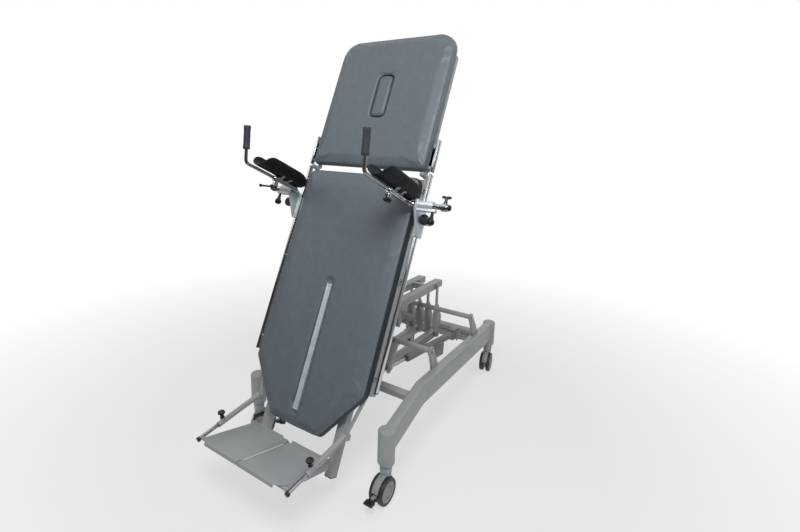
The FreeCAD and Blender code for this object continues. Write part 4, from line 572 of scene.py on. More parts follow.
# Each finish: shader settings; colour, or the name of a colour a user may change; how far
# and over how many mm that colour wanders; relief as spacing and depth in mm, and more;
# roughness as low, high and over how many mm it wanders
MAKERS = {
    # Polyurethane leatherette, embossed: soft broad sheen and a cloudy slate blue.
    # The embossed grain is about 0.5 mm; it is drawn at 1.6 mm so that it shows
    "Leatherette, slate": ({"Roughness": 0.45, "IOR": 1.5, "Specular IOR Level": 0.5},
                           "leatherette", (0.045, 38), (1.6, 0.12, {"kind": "cells"}),
                           (0.38, 0.5, 60)),
    # Steel with baked polyester powder: satin, orange peel with about 2 mm between crests
    "Powder coated steel, light grey": ({"Roughness": 0.42, "IOR": 1.5}, "frame_paint",
                                        (0.02, 90), (2.2, 0.05, {}), (0.36, 0.48, 45)),
    # Chromium plate on polished steel: a near mirror with a faint haze
    "Chromed steel": ({"Metallic": 1.0}, "#C2C5C8", (0.02, 60), (30, 0.03, {}),
                      (0.05, 0.13, 25)),
    # Zinc plated steel fasteners: dull white metal
    "Zinc plated steel": ({"Metallic": 1.0}, "#A9ADB0", (0.06, 12), (0.9, 0.02, {}),
                          (0.3, 0.46, 9)),
    # Ground and polished steel rod: fine turning marks across it
    "Ground steel rod": ({"Metallic": 1.0}, "#B5B8BA", (0.03, 30),
                         (3.0, 0.02, {"stretch": (4, 0.3, 4)}), (0.16, 0.26, 14)),
    # Satin anodised aluminium: the clear oxide scatters light, so it stays pale and silky,
    # with drawing lines along its length, drawn at 3 mm so that they show
    "Anodised aluminium": ({"Metallic": 0.5}, "#DCE6EC", (0.02, 50),
                           (3.0, 0.006, {"stretch": (4, 0.1, 0.1)}), (0.36, 0.46, 40)),
    # Glass filled nylon, moulded: black, satin, finely pitted
    "Nylon, black": ({"Roughness": 0.36, "IOR": 1.52}, "#18191B", (0.12, 14),
                     (1.1, 0.05, {}), (0.3, 0.44, 12)),
    # Integral skin polyurethane, moulded: black, matt, soft sheen on the rims
    "Polyurethane foam, black": ({"Roughness": 0.55, "IOR": 1.48, "Specular IOR Level": 0.35},
                                 "#141619", (0.15, 30), (1.3, 0.12, {}), (0.46, 0.62, 35)),
    # Soft vinyl handgrip: charcoal, with a coarse pebble grain
    "Vinyl grip, charcoal": ({"Roughness": 0.48, "IOR": 1.5}, "#3A4046", (0.16, 9),
                             (2.4, 0.35, {"kind": "cells"}), (0.38, 0.55, 16)),
    # Polyurethane tread: charcoal, smooth, dusty at the crown
    "Polyurethane tread": ({"Roughness": 0.5, "IOR": 1.5}, "#2B2E33", (0.14, 22),
                           (1.8, 0.06, {}), (0.4, 0.6, 18)),
    # Moulded nylon discs: warm grey with a spark eroded texture
    "Nylon disc, warm grey": ({"Roughness": 0.5, "IOR": 1.53}, "#9A9491", (0.05, 15),
                              (1.7, 0.1, {}), (0.42, 0.58, 20)),
    # Moulded polypropylene covers: pale grey, satin
    "Polypropylene, pale grey": ({"Roughness": 0.45, "IOR": 1.49}, "cover_plastic",
                                 (0.03, 40), (1.5, 0.06, {}), (0.38, 0.52, 30)),
    # Die cast motor housing, sprayed: mid grey with a light texture
    "Die cast housing, grey": ({"Roughness": 0.5, "IOR": 1.5}, "#85878A", (0.05, 25),
                               (1.9, 0.12, {}), (0.42, 0.56, 22)),
    # Birch plywood faced with black cloth: flat, fibrous
    "Backing cloth, black": ({"Roughness": 0.85, "IOR": 1.45}, "#26282A", (0.12, 8),
                             (1.2, 0.15, {"stretch": (1, 1, 4)}), None),
    # Leatherette of the body cushion's side wall, darkened to a dark slate as painted shade:
    # satin, with the same embossed grain as the top, drawn at 1.6 mm so that it shows
    "Leatherette border, dark slate": ({"Roughness": 0.5, "IOR": 1.5}, "#343C42", (0.06, 38),
                                       (1.6, 0.12, {"kind": "cells"}), (0.44, 0.56, 60)),
}
(SKIN, PAINT, CHROME, ZINC, ROD, ALU, BLACK, FOAM, GRIP, TREAD, DISC, COVER, MOTOR, BACKING,
 SHADED_WALL) = MAKERS


# Settings

class TiltTableSizes(bpy.types.PropertyGroup):
    """Sizes of the soft and rounded forms."""
    swell: FloatProperty(
        name="Cushion swell", description="How far the upholstery rises when it is filled",
        default=0.006, min=0.0, max=0.03, unit="LENGTH")
    shrink: FloatProperty(
        name="Cushion start", description="How far the cushion starts inside its finished form",
        default=0.003, min=0.0, max=0.02, unit="LENGTH")
    weave: FloatProperty(
        name="Cushion mesh", description="Voxel of the cushion's mesh before it is filled",
        default=0.009, min=0.004, max=0.02, unit="LENGTH")
    beam_edge: FloatProperty(
        name="Beam edge", description="Radius along the edges of the side beams",
        default=0.009, min=0.0, max=0.02, unit="LENGTH")
    broken_edge: FloatProperty(
        name="Broken edge", description="Radius along the edges of welded tube and plate",
        default=0.0011, min=0.0, max=0.003, unit="LENGTH")
    staple_gap: FloatProperty(
        name="Staple spacing", description="Distance between the staples behind a cushion",
        default=0.028, min=0.01, max=0.1, unit="LENGTH")
    knob_lobes: IntProperty(
        name="Knob lobes", description="Number of finger lobes round a clamp knob",
        default=12, min=5, max=24)


class TiltTableColours(bpy.types.PropertyGroup):
    """Colours of the finishes that a maker offers."""
    leatherette: FloatVectorProperty(
        name="Leatherette", description="Colour of the upholstery", subtype="COLOR",
        default=linear("#666F77"))
    frame_paint: FloatVectorProperty(
        name="Frame paint", description="Colour of the powder coat", subtype="COLOR",
        default=linear("#A3A8AA"))
    cover_plastic: FloatVectorProperty(
        name="Cover plastic", description="Colour of castor hoods and covers", subtype="COLOR",
        default=linear("#9AA0A4"))


def sizes():
    return bpy.context.scene.tilt_table_sizes


# Upholstery

def soft_start(node, shrink):
    """The cushion's CAD form as an even mesh, drawn in a little."""
    data, form = welded(node)
    form.to_mesh(data)
    form.free()
    data.materials.clear()
    obj = linked(node + "_soft", data)
    remesh = obj.modifiers.new("Even mesh", "REMESH")
    remesh.mode = "VOXEL"
    remesh.voxel_size = sizes().weave if node != "face_plug" else 0.005
    made = applied(obj)
    bpy.data.objects.remove(obj)
    form = bmesh.new()
    form.from_mesh(made)
    bmesh.ops.smooth_vert(form, verts=form.verts, factor=0.5, use_axis_x=True,
                          use_axis_y=True, use_axis_z=True)
    form.normal_update()
    local = TABLE.inverted()
    for vert in form.verts:
        # The back keeps its size: the drawing in fades out from 18 to 6 mm before it
        over = limited(((BACK - 6) * MM - (local @ vert.co).y) / 0.012)
        vert.co -= vert.normal * shrink * over
    form.to_mesh(made)
    form.free()
    return made


def filled(name, data, pinned):
    """Cloth with air pressure inside, held at its back, settled and kept within the swell."""
    obj = linked(name, data)
    rest = [v.co.copy() for v in data.vertices]
    held = obj.vertex_groups.new(name="held")
    for vert in data.vertices:
        weight = pinned(vert.co)
        if weight > 0:
            held.add([vert.index], weight, "REPLACE")
    cloth = obj.modifiers.new("Filling", "CLOTH")
    cover = cloth.settings
    cover.quality = 4
    cover.mass = 0.4
    cover.tension_stiffness = cover.compression_stiffness = 20
    cover.bending_stiffness = 2
    cover.use_pressure = True
    cover.uniform_pressure_force = 4
    cover.vertex_group_mass = "held"
    cover.effector_weights.gravity = 0
    frames = 20
    cloth.point_cache.frame_start = 1
    cloth.point_cache.frame_end = frames
    scene = bpy.context.scene
    for number in range(1, frames + 1):
        scene.frame_set(number)
    swollen = applied(obj)
    obj.modifiers.remove(cloth)
    scene.frame_set(1)
    limit = sizes().swell
    for vert, start, end in zip(data.vertices, rest, swollen.vertices):
        step = end.co - start
        vert.co = start + (step * min(1.0, limit / step.length) if step.length > 1e-9 else step)
    bpy.data.meshes.remove(swollen)
    return obj


def within(u, v, outline):
    """Least distance in millimetres from a point to the sides of a convex outline."""
    return min(((b[0] - a[0]) * (v - a[1]) - (b[1] - a[1]) * (u - a[0])) / math.dist(a, b)
               for a, b in zip(outline, outline[1:] + outline[:1]))


def plug_gap(u, v):
    """Distance in millimetres from the face plug's outline, negative inside it."""
    across = abs(u) - (PLUG_U_HALF - PLUG_CORNER)
    along = abs(v - PLUG_V) - (PLUG_V_HALF - PLUG_CORNER)
    return math.hypot(max(across, 0), max(along, 0)) + min(max(across, along), 0) - PLUG_CORNER


def rolled(gap, reach, fall):
    """How far foam rolls off at a gap from its edge: fall at the edge, none at the reach."""
    near = max(0.0, 1 - max(0.0, gap) / reach)
    return fall * MM * near * near


def upholstered(name, node, dents, body, outline, crown):
    """One cushion: filled, rolled off, dented where it is fastened, and backed with cloth."""
    data = soft_start(node, sizes().shrink)
    local = TABLE.inverted()

    def pinned(point):
        # Loose down to 26 mm behind the face, held from 38 mm on
        return limited(((local @ point).y - 0.026) / 0.012)

    obj = filled(name, data, pinned)
    for vert in data.vertices:
        spot = local @ vert.co
        u, v = spot.x / MM, spot.z / MM
        # All of this fades out 40 mm behind the face
        front = max(0.0, 1 - spot.y / 0.04)
        spot.y += rolled(within(u, v, outline), *crown) * front
        if node == "head_cushion":
            spot.y += rolled(plug_gap(u, v), 16, 2.6) * front
        if node == "body_cushion" and STRIP_LOW - 17 < v < STRIP_HIGH + 15 and abs(u) < 36:
            spot.y += 2.4 * MM * bowl(u / 36) * front
        for dent_u, dent_v, half_u, half_v, deep in dents:
            reach = math.hypot((spot.x / MM - dent_u) / half_u, (spot.z / MM - dent_v) / half_v)
            if reach < 1 and spot.y < 0.03:
                spot.y += deep * MM * bowl(reach)
        # Slow unevenness of a cover stretched over foam by hand
        if spot.y < 0.035:
            spot.y += 0.0007 * noise.noise(spot * 11)
        spot.y = min(max(spot.y, 0.0002), 0.0548)
        vert.co = TABLE @ spot
    if node != "body_cushion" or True:
        refine = obj.modifiers.new("Finer", "SUBSURF")
        refine.levels = refine.render_levels = 1
        made = applied(obj)
        obj.modifiers.remove(refine)
        obj.data = made
        made.name = name
    # The third finish darkens the body cushion's side wall as painted shade
    for finish in (SKIN, BACKING, SHADED_WALL):
        obj.data.materials.append(material(finish))
    turned_back = local.to_3x3()
    for polygon in obj.data.polygons:
        polygon.use_smooth = True
        # The cover is folded behind the board and cloth closes the middle
        deep = (local @ polygon.center).y / MM
        if deep > CLOTH_FROM:
            polygon.material_index = 1
        elif node == "body_cushion" and deep > SHADED_WALL_FROM:
            # The body cushion's side wall is darkened: painted shade
            if abs((turned_back @ polygon.normal).y) < 0.6:
                polygon.material_index = 2
    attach(obj, body)
    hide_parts(node)
    return obj


def staples(name, outline, body):
    """Staples round the edge of a cushion's back."""
    lengths = [(Vector(a) - Vector(b)).length for a, b in zip(outline, outline[1:] + outline[:1])]
    count = int(sum(lengths) * MM / sizes().staple_gap)
    piece = Piece(name, TABLE)
    wire = slab(rectangle(-5, 5, -0.5, 0.5), -0.35, 0.35)
    piece.add(repeated(outline, True, [wire], count, ZINC), ZINC, place(0, 55.1, 0) @ FACING)
    return piece.done(body, "leatherette")


BODY_EDGE = [(-339.5, 1245.5), (-339.5, 237), (-158, 0), (158, 0), (339.5, 237), (339.5, 1245.5)]
HEAD_EDGE = [(-343, 1992), (-343, 1268.5), (343, 1268.5), (343, 1992)]
PLUG_EDGE = rectangle(-PLUG_U_HALF, PLUG_U_HALF, PLUG_V - PLUG_V_HALF, PLUG_V + PLUG_V_HALF)


def inset(outline, step):
    """The outline drawn in by a step."""
    made = []
    count = len(outline)
    for i in range(count):
        before, here, after = (Vector(outline[j % count]) for j in (i - 1, i, i + 1))
        a, b = (here - before).normalized(), (after - here).normalized()
        inward = Vector((-a.y, a.x)) + Vector((-b.y, b.x))
        made.append(tuple(here + inward * (step / (1 + a.dot(b)))))
    return made


class TILTTABLE_OT_upholstery(bpy.types.Operator):
    """Fill the body cushion, head cushion and face plug"""
    bl_idname = "tilttable.upholstery"
    bl_label = "Upholstery"

    def execute(self, context):
        slot_dents = [(0, 686, 24, 20, 10.0), (0, 690, 52, 40, 4.0), (0, 66, 26, 22, 5.0)]
        upholstered("body_upholstery", "body_cushion", slot_dents, "table", BODY_EDGE, (62, 9))
        upholstered("head_upholstery", "head_cushion", [(0, PLUG_V, 95, 165, 2.0)], "head",
                    HEAD_EDGE, (62, 9))
        upholstered("plug_upholstery", "face_plug", [], "plug", PLUG_EDGE, (16, 3))
        edge = rounded(inset(BODY_EDGE, 18), [45, 45, 30, 30, 45, 45])
        staples("body_staples", edge, "table")
        staples("head_staples", rounded(inset(HEAD_EDGE, 20), [100, 30, 30, 100]), "head")
        return {"FINISHED"}


class TILTTABLE_OT_slot_strip(bpy.types.Operator):
    """Set the grooved aluminium strip into the body cushion"""
    bl_idname = "tilttable.slot_strip"
    bl_label = "Slot strip"

    def execute(self, context):
        piece = Piece("slot_strip", TABLE)
        low, high = STRIP_LOW, STRIP_HIGH
        half = [(14.5, BACK), (14.5, 4.2), (13.6, 3.2), (7.2, 3.2), (6.2, 4.0), (6.2, 7.0),
                (2.4, 7.0), (2.0, 6.2)]
        section = [(-u, n) for u, n in half] + half[::-1]
        piece.add(slab(section, low + 3, high - 3), ALU)
        for v in (low, high - 3):
            piece.add(slab(rectangle(-15, 15, 3.0, 50), v, v + 3, 0.8), ALU)
        for v in (low + 14, high - 14, (low + high) / 2):
            piece.add(screw(2.6, 1.6), ZINC, place(0, 6.6, v) @ FACING)
        piece.done("table", "aluminium", "slot_channel")
        return {"FINISHED"}


# Base

def side_beam(side, word):
    """Rounded beam with its housings, cover panel, gussets and pivot bolts."""
    piece = Piece("side_beam_" + word, BASE)
    turn = place(side * BEAM_X) @ spun(side * BEAM_TAPER)
    edge = sizes().beam_edge / MM
    shape = rounded([(-BEAM_HALF, 226), (-386, 300), (BEAM_HALF, 218), (BEAM_HALF, 342),
                     (-386, 410), (-BEAM_HALF, 336)], [0, 60, 0, 0, 90, 0], 8)
    piece.add(slab(shape, -25, 25, edge, 4), PAINT, turn @ ALONG_X)
    cover = rounded([(-352, 315), (664, 238), (664, 328), (-352, 390)], [14, 6, 6, 14], 5)
    out = (24.6, 26.4) if side > 0 else (-26.4, -24.6)
    piece.add(slab(cover, *out, 0.8, 2), PAINT, turn @ ALONG_X)
    for end in (-1, 1):
        x, y = castor_place(side, end)
        at = place(x, y - BASE_Y)
        piece.add(ring_of([(14.05, 142), (26, 142), (27, 143), (27, 170), (28, 174), (36, 182),
                           (39, 188), (39, 335), (38, 339.5), (35.5, 343), (14.05, 343)], 56),
                  PAINT, at)
        piece.add(turned([(0, 342), (35.5, 342.6), (34, 344.3), (28, 345.5), (0, 346)], 56),
                  PAINT, at)
        piece.add(ring_of([(27.05, 164), (28.2, 164.6), (28.2, 167.4), (27.05, 168)], 48),
                  PAINT, at)
    for pivot, plate, lean in ((FRONT_TUBE, 350, 20), (REAR_TUBE, 326, 51)):
        inner, outer = side * (plate - 6), side * (plate + 6)
        fan = [(pivot - 22, TUBE_Z), (pivot + lean, 336), (pivot + lean + 88, 336)]
        arc = [(pivot + u, TUBE_Z + v) for u, v in circle(22, 28)[:15]]
        piece.add(slab(fan + arc, *sorted((inner, outer)), 1.6, 2), PAINT, ALONG_X)
        piece.add(pin(6, 0, 40), ZINC,
                  place(inner, pivot, TUBE_Z) @ ALONG_X @ Matrix.Scale(-side, 4, (0, 0, 1)))
        piece.add(bolt(10.5, 7.6), ZINC, place(outer, pivot, TUBE_Z) @ outward(side))
    return piece.done("base", "frame_paint", "base_beam_" + word)


class TILTTABLE_OT_base(bpy.types.Operator):
    """Build the side beams, cross members and control box"""
    bl_idname = "tilttable.base"
    bl_label = "Base frame"

    def execute(self, context):
        edge = sizes().broken_edge / MM
        for side, word in SIDES:
            side_beam(side, word)
        carried("front_cross_tube", "base", "frame_paint", 2.4, PAINT)
        carried("rear_cross_member", "base", "frame_paint", edge, PAINT)
        box = edged("control_box", 2.6, COVER)
        box.at = BASE
        rear, middle, top = 670, 268, 283.9
        box.add(ring_of([(9.1, 0), (13.5, 0), (13.5, 2.2), (12.4, 3.0), (9.1, 3.0)], 40), BLACK,
                place(50, rear, middle) @ ALONG_Y)
        for x in (-30, 250):
            for y in (rear - 12, rear - 50):
                box.add(screw(4.2, 2.4), ZINC, place(x, y, top))
        slots = repeated([(120, 0), (230, 0)], False,
                         [slab(rounded(rectangle(-1.6, 1.6, -8, 8), 1.5, 4), -0.3, 0.5)], 14,
                         BLACK)
        box.add(slots, BLACK, place(0, rear, middle) @ ALONG_Y)
        box.done("base", "grey_plastic", "control_box")
        return {"FINISHED"}


# Castors

def wheel_pair(tag, side, end, turn):
    """Twin wheels: rounded treads on dished discs with hub caps and an axle."""
    at = place(*castor_place(side, end)) @ spun(turn) @ place(0, TRAIL, WHEEL)
    piece = Piece("wheels_" + tag + "_finished", at)
    for way in (1, -1):
        flip = outward(way)
        tread = [(47.5, 10.0), (58.5, 9.4), (60.8, 10.4), (62.1, 12.8), (WHEEL, 16.5),
                 (WHEEL, 26.0), (62.1, 29.4), (60.4, 32.0), (57.5, 33.0), (49.5, 33.0),
                 (47.5, 31.6)]
        piece.add(ring_of(tread, 72), TREAD, flip)
        disc = [(0, 9.6), (47.6, 9.6), (47.6, 31.6), (46.6, 32.2), (45.2, 32.0), (44.0, 30.8),
                (25, 29.6), (18.2, 30.0), (16.8, 31.0), (15.4, 32.2), (10, 32.8), (0, 33.0)]
        piece.add(turned(disc, 64), DISC, flip)
        spokes = repeated(circle(31, 48), True, [slab(rectangle(-0.7, 0.7, -10, 10), 0, 1.1)],
                          24, DISC)
        piece.add(spokes, DISC, flip @ place(0, 0, 29.4))
    piece.add(pin(6, -9.7, 9.7), ZINC, ALONG_X)
    return piece.done("wheels_" + tag, "tyre_rubber", "castor_wheels_" + tag)


def brake_pedal(tag, side, end, turn):
    """Pedal with a ribbed tread plate on two cheeks."""
    piece = edged("brake_pedal_" + tag, 3.0, BLACK)
    piece.at = place(*castor_place(side, end)) @ spun(turn)
    ribs = repeated([(0, 117), (0, 137)], False,
                    [slab(rounded(rectangle(-1.1, 1.1, -18, 18), 1.0, 3), 0, 1.4)], 5, BLACK)
    piece.add(ribs, BLACK, place(0, 0, 65.2))
    return piece.done("pedal_" + tag, "black_plastic", "brake_pedal_" + tag)


class TILTTABLE_OT_castors(bpy.types.Operator):
    """Build the four twin wheel castors and their brake pedals"""
    bl_idname = "tilttable.castors"
    bl_label = "Castors"

    def execute(self, context):
        for tag, (side, end, turn) in CASTORS.items():
            carried("castor_hood_" + tag, "castor_" + tag, "grey_plastic", 1.2, COVER)
            wheel_pair(tag, side, end, turn)
            if end < 0:
                brake_pedal(tag, side, end, turn)
        return {"FINISHED"}


# Lift linkage and actuators

class TILTTABLE_OT_lift(bpy.types.Operator):
    """Finish the cranks, connecting rods and lift frame"""
    bl_idname = "tilttable.lift"
    bl_label = "Lift linkage"

    def execute(self, context):
        edge = sizes().broken_edge / MM
        for node, body, pivot in (("front_lift_crank", "front_crank", FRONT_TUBE),
                                  ("rear_lift_crank", "rear_crank", REAR_TUBE)):
            piece = edged(node, edge, PAINT)
            piece.at = BASE
            for side, _ in SIDES:
                face = side * 96
                piece.add(bolt(10, 6), ZINC, place(face, pivot, UPPER_Z) @ outward(side))
                piece.add(bolt(11, 7), ZINC, place(face, pivot + 23, LOWER_Z) @ outward(side))
            piece.done(body, "frame_paint", node)
        carried("connecting_rods", "rods", "frame_paint", 2.0, PAINT)
        frame_piece = edged("lift_frame", edge, PAINT)
        frame_piece.at = BASE
        for side, _ in SIDES:
            frame_piece.add(slab(rounded(rectangle(-23, 23, -18, 18), 4, 4), 0, 4, 1.2), BLACK,
                            place(side * 61, 426, UPPER_Z) @ ALONG_Y)
        frame_piece.done("lift_frame", "frame_paint", "lift_frame")
        return {"FINISHED"}


class TILTTABLE_OT_actuators(bpy.types.Operator):
    """Finish the lift and tilt actuators"""
    bl_idname = "tilttable.actuators"
    bl_label = "Actuators"

    def execute(self, context):
        for word in ("lift", "tilt"):
            carried(word + "_actuator_body", word + "_actuator", "grey_plastic", 2.0, MOTOR)
        for word in ("lift", "tilt"):
            carried(word + "_actuator_rod", word + "_rod", "steel", 0.8, ROD)
        return {"FINISHED"}


# Tabletop frame

def in_table(test):
    """A test on a point in the table's frame, in millimetres."""
    back = TABLE.inverted()

    def ask(point):
        here = back @ point
        return test(here.x / MM, here.y / MM, here.z / MM)
    return ask


class TILTTABLE_OT_table_frame(bpy.types.Operator):
    """Finish the side tubes, cross tubes, footrest legs and rails"""
    bl_idname = "tilttable.table_frame"
    bl_label = "Tabletop frame"

    def execute(self, context):
        edge = sizes().broken_edge / MM
        for side, word in SIDES:
            carried("frame_side_" + word, "table", "frame_paint", edge, PAINT)
            rail = edged("side_rail_" + word, 1.0, PAINT, [
                (CHROME, in_table(lambda u, n, v: abs(u) > 359)),
                (ZINC, in_table(lambda u, n, v: 344.5 < abs(u) <= 359))])
            rail.at = TABLE
            for v in (267, 1260):
                cap = slab(rounded(rectangle(360, 370, 35, 60), 1.5, 3), -3.0, 3.0, 0.8)
                rail.add(cap, BLACK, place(0, 0, v) @ Matrix.Scale(side, 4, (1, 0, 0)))
            rail.done("table", "chrome", "side_rail_" + word)
        carried("frame_cross_tubes", "table", "frame_paint", edge, PAINT)
        carried("footrest_frame", "table", "frame_paint", 1.6, PAINT, [
            (BLACK, in_table(lambda u, n, v: v < -143.5)),
            (ZINC, in_table(lambda u, n, v: abs(u) < 195.5 and v < -76))])
        return {"FINISHED"}


class TILTTABLE_OT_head_frame(bpy.types.Operator):
    """Finish the head section's frame and gas spring"""
    bl_idname = "tilttable.head_frame"
    bl_label = "Head frame"

    def execute(self, context):
        carried("head_frame", "head", "frame_paint", sizes().broken_edge / MM, PAINT, [
            (CHROME, in_table(lambda u, n, v: abs(u) > 359.5))])
        carried("gas_spring_body", "gas_body", "black_paint", 0.8, BLACK)
        carried("gas_spring_rod", "gas_rod", "chrome", 0.6, CHROME)
        return {"FINISHED"}


# Footrest

class TILTTABLE_OT_footrest(bpy.types.Operator):
    """Finish the footplates and their telescopic struts"""
    bl_idname = "tilttable.footrest"
    bl_label = "Footrest"

    def execute(self, context):
        for side, word in SIDES:
            plate, outer, inner = (start + word for start in
                                   ("footplate_", "strut_outer_", "strut_inner_"))
            carried(plate, plate, "frame_paint", 0.9, PAINT)
            carried(outer, outer, "frame_paint", 1.0, PAINT)
            carried(inner, inner, "chrome", 0.9, CHROME, [(BLACK, beyond(inner, 0.014))])
            strut_knob(side, word)
        return {"FINISHED"}


def strut_line():
    """Angle of a strut in the table's frame, from its foot pivot to the footplate."""
    lean = math.radians(10)
    # From the footplate's hinge to the strut's pin on it, along the plate and over it
    hinge_n, hinge_v, along, over = 48, -88, 294, 8
    n = hinge_n - along * math.cos(lean) - over * math.sin(lean)
    v = hinge_v - along * math.sin(lean) + over * math.cos(lean)
    return math.atan2(STRUT_N - n, v - STRUT_V)


def beyond(node, reach):
    """A test on the front end of a node, as long along the row's Y as the reach."""
    front = min(vert.co.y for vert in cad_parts[node].data.vertices)
    return lambda point: point.y < front + reach


def strut_knob(side, word):
    """Trumpet shaped clamping knob."""
    trumpet = [(0, 22.4), (10, 22.4), (10.4, 24), (9.6, 28), (8.6, 33), (9.2, 38), (13.5, 43.5),
               (16.8, 46.5), (17, 50), (15.5, 53.5), (9, 56.6), (0, 57.6)]
    at = (place(STRUT_U, STRUT_N, STRUT_V) @ Matrix.Rotation(strut_line(), 4, "X")
          @ place(0, 0, 216) @ ALONG_Y)
    hand_screw(side, word, "trumpet_knob_", "strut_knob_", at, (pin(5, 9.4, 21), ZINC),
               (turned(trumpet, 48, 8, 0.5), BLACK))


# Armrests

def gutter(side, word):
    """Forearm trough: moulded skin with swept side walls on a bolted saddle."""
    piece = Piece("forearm_trough_" + word, TABLE)
    form = bmesh.new()
    front, rear, low, high, wall = -349, -27, 1112, 1176, 7.0
    radius = 55 - wall / 2
    centre = low + 55
    rows, columns = 22, 26
    grid = []
    for i in range(rows + 1):
        n = front + (rear - front) * i / rows
        # The walls sweep down at both ends
        rise = 1.0
        for gap, reach in ((n - front, 60.0), (rear - n, 85.0)):
            if gap < reach:
                rise = min(rise, math.sqrt(max(0.0, 1 - (1 - gap / reach) ** 2)))
        quarter = math.pi / 2 * (0.42 + 0.58 * rise)
        length = radius * quarter + (high - 3 - centre) * rise
        row = []
        for j in range(columns + 1):
            # From the middle of the section: an arc, then straight on
            way = 2 * j / columns - 1
            run = abs(way) * length
            bend = min(run / radius, quarter)
            wall_up = run - radius * bend
            u = radius * math.sin(bend) + wall_up * math.cos(bend)
            v = centre - radius * math.cos(bend) + wall_up * math.sin(bend)
            row.append(form.verts.new((ARM_U + math.copysign(u, way), n, v)))
        grid.append(row)
    for near, far in zip(grid, grid[1:]):
        for j in range(columns):
            form.faces.new((near[j], near[j + 1], far[j + 1], far[j]))
    holder = linked("trough", meshed(form, "trough"))
    thick = holder.modifiers.new("Wall", "SOLIDIFY")
    thick.thickness, thick.offset = wall, 0
    smooth = holder.modifiers.new("Moulded", "SUBSURF")
    smooth.levels = smooth.render_levels = 2
    made = applied(holder)
    bpy.data.objects.remove(holder)
    shape = bmesh.new()
    shape.from_mesh(made)
    bmesh.ops.recalc_face_normals(shape, faces=shape.faces)
    bpy.data.meshes.remove(made)
    piece.add(shape, FOAM)
    saddle = [(-14, 1103), (14, 1103), (14, 1110), (30, 1117), (30, 1121), (-30, 1121),
              (-30, 1117), (-14, 1110)]
    for n in (-182, -130):
        piece.add(slab(rounded(saddle, 2, 3), -9, 9, 1.0), ZINC, place(ARM_U, n, 0) @ FACING)
        for way in (1, -1):
            piece.add(screw(4.5, 2.6), ZINC, place(ARM_U + way * 14, n, 1107) @ outward(way))
    piece.add(slab(rectangle(-12, 12, -190, -110), 1106, 1114, 1.5), BLACK, place(ARM_U))
    return piece.done("arm_" + word, "black_plastic", "arm_gutter_" + word, mirror=side < 0)


def arm(side, word):
    """Bent chromed tube with its collars and end plug."""
    piece = Piece("bent_arm_" + word, TABLE)
    path = bent([(529, ARM_N, ARM_V), (ARM_U, ARM_N, ARM_V), (ARM_U, -221, ARM_V)], 37, 14)
    piece.add(swept(path, 12.5, 32), CHROME)
    piece.add(ring_of([(8.05, 0), (13.6, 0), (14.5, 1), (14.5, 27), (13.6, 28), (8.05, 28)], 40),
              CHROME, place(ARM_U, LOCK_N + 14, ARM_V) @ FACING)
    piece.add(pin(9, 0, 22, 28), CHROME, place(ARM_U, LOCK_N, ARM_V - 34))
    piece.add(turned([(0, 0), (13.8, 0), (14, 1), (13.4, 5), (10, 8.4), (0, 9.6)], 32), BLACK,
              place(525, ARM_N, ARM_V) @ ALONG_X)
    piece.add(ring_of([(12.5, -12), (17, -12), (18, -11), (18, 11), (17, 12), (12.5, 12)], 40),
              CHROME, place(TEE_U, ARM_N, ARM_V) @ ALONG_X)
    return piece.done("arm_" + word, "chrome", "arm_tube_" + word, mirror=side < 0)


def hand_grip(side, word):
    """Sliding rod that turns up into a pebbled grip."""
    piece = Piece("hand_grip_" + word, TABLE)
    lean = math.radians(19)
    up = Vector((0, -math.sin(lean), math.cos(lean)))
    corner = Vector((ARM_U, -416, ARM_V))
    path = bent([(ARM_U, -123, ARM_V), corner, corner + up * 66], 26, 12)
    piece.add(swept(path, 8, 24), CHROME)
    at = place(*corner) @ Matrix.Rotation(lean, 4, "X")
    grip = [(0, 61), (13.2, 61), (15.2, 62.6), (16.5, 66), (16.0, 74), (15.4, 84), (15.2, 100),
            (15.2, 132), (15.5, 146), (16.2, 156), (16.6, 163), (15.8, 166.6), (13, 168.8),
            (6, 169.2), (0, 169.2)]
    piece.add(turned(grip, 48), GRIP, at)
    ribs = repeated(circle(15, 36), True, [slab(rectangle(-0.7, 0.7, -0.4, 0.9), 80, 148)],
                    20, GRIP)
    piece.add(ribs, GRIP, at)
    return piece.done("grip_" + word, "chrome", "grip_rod_" + word, mirror=side < 0)


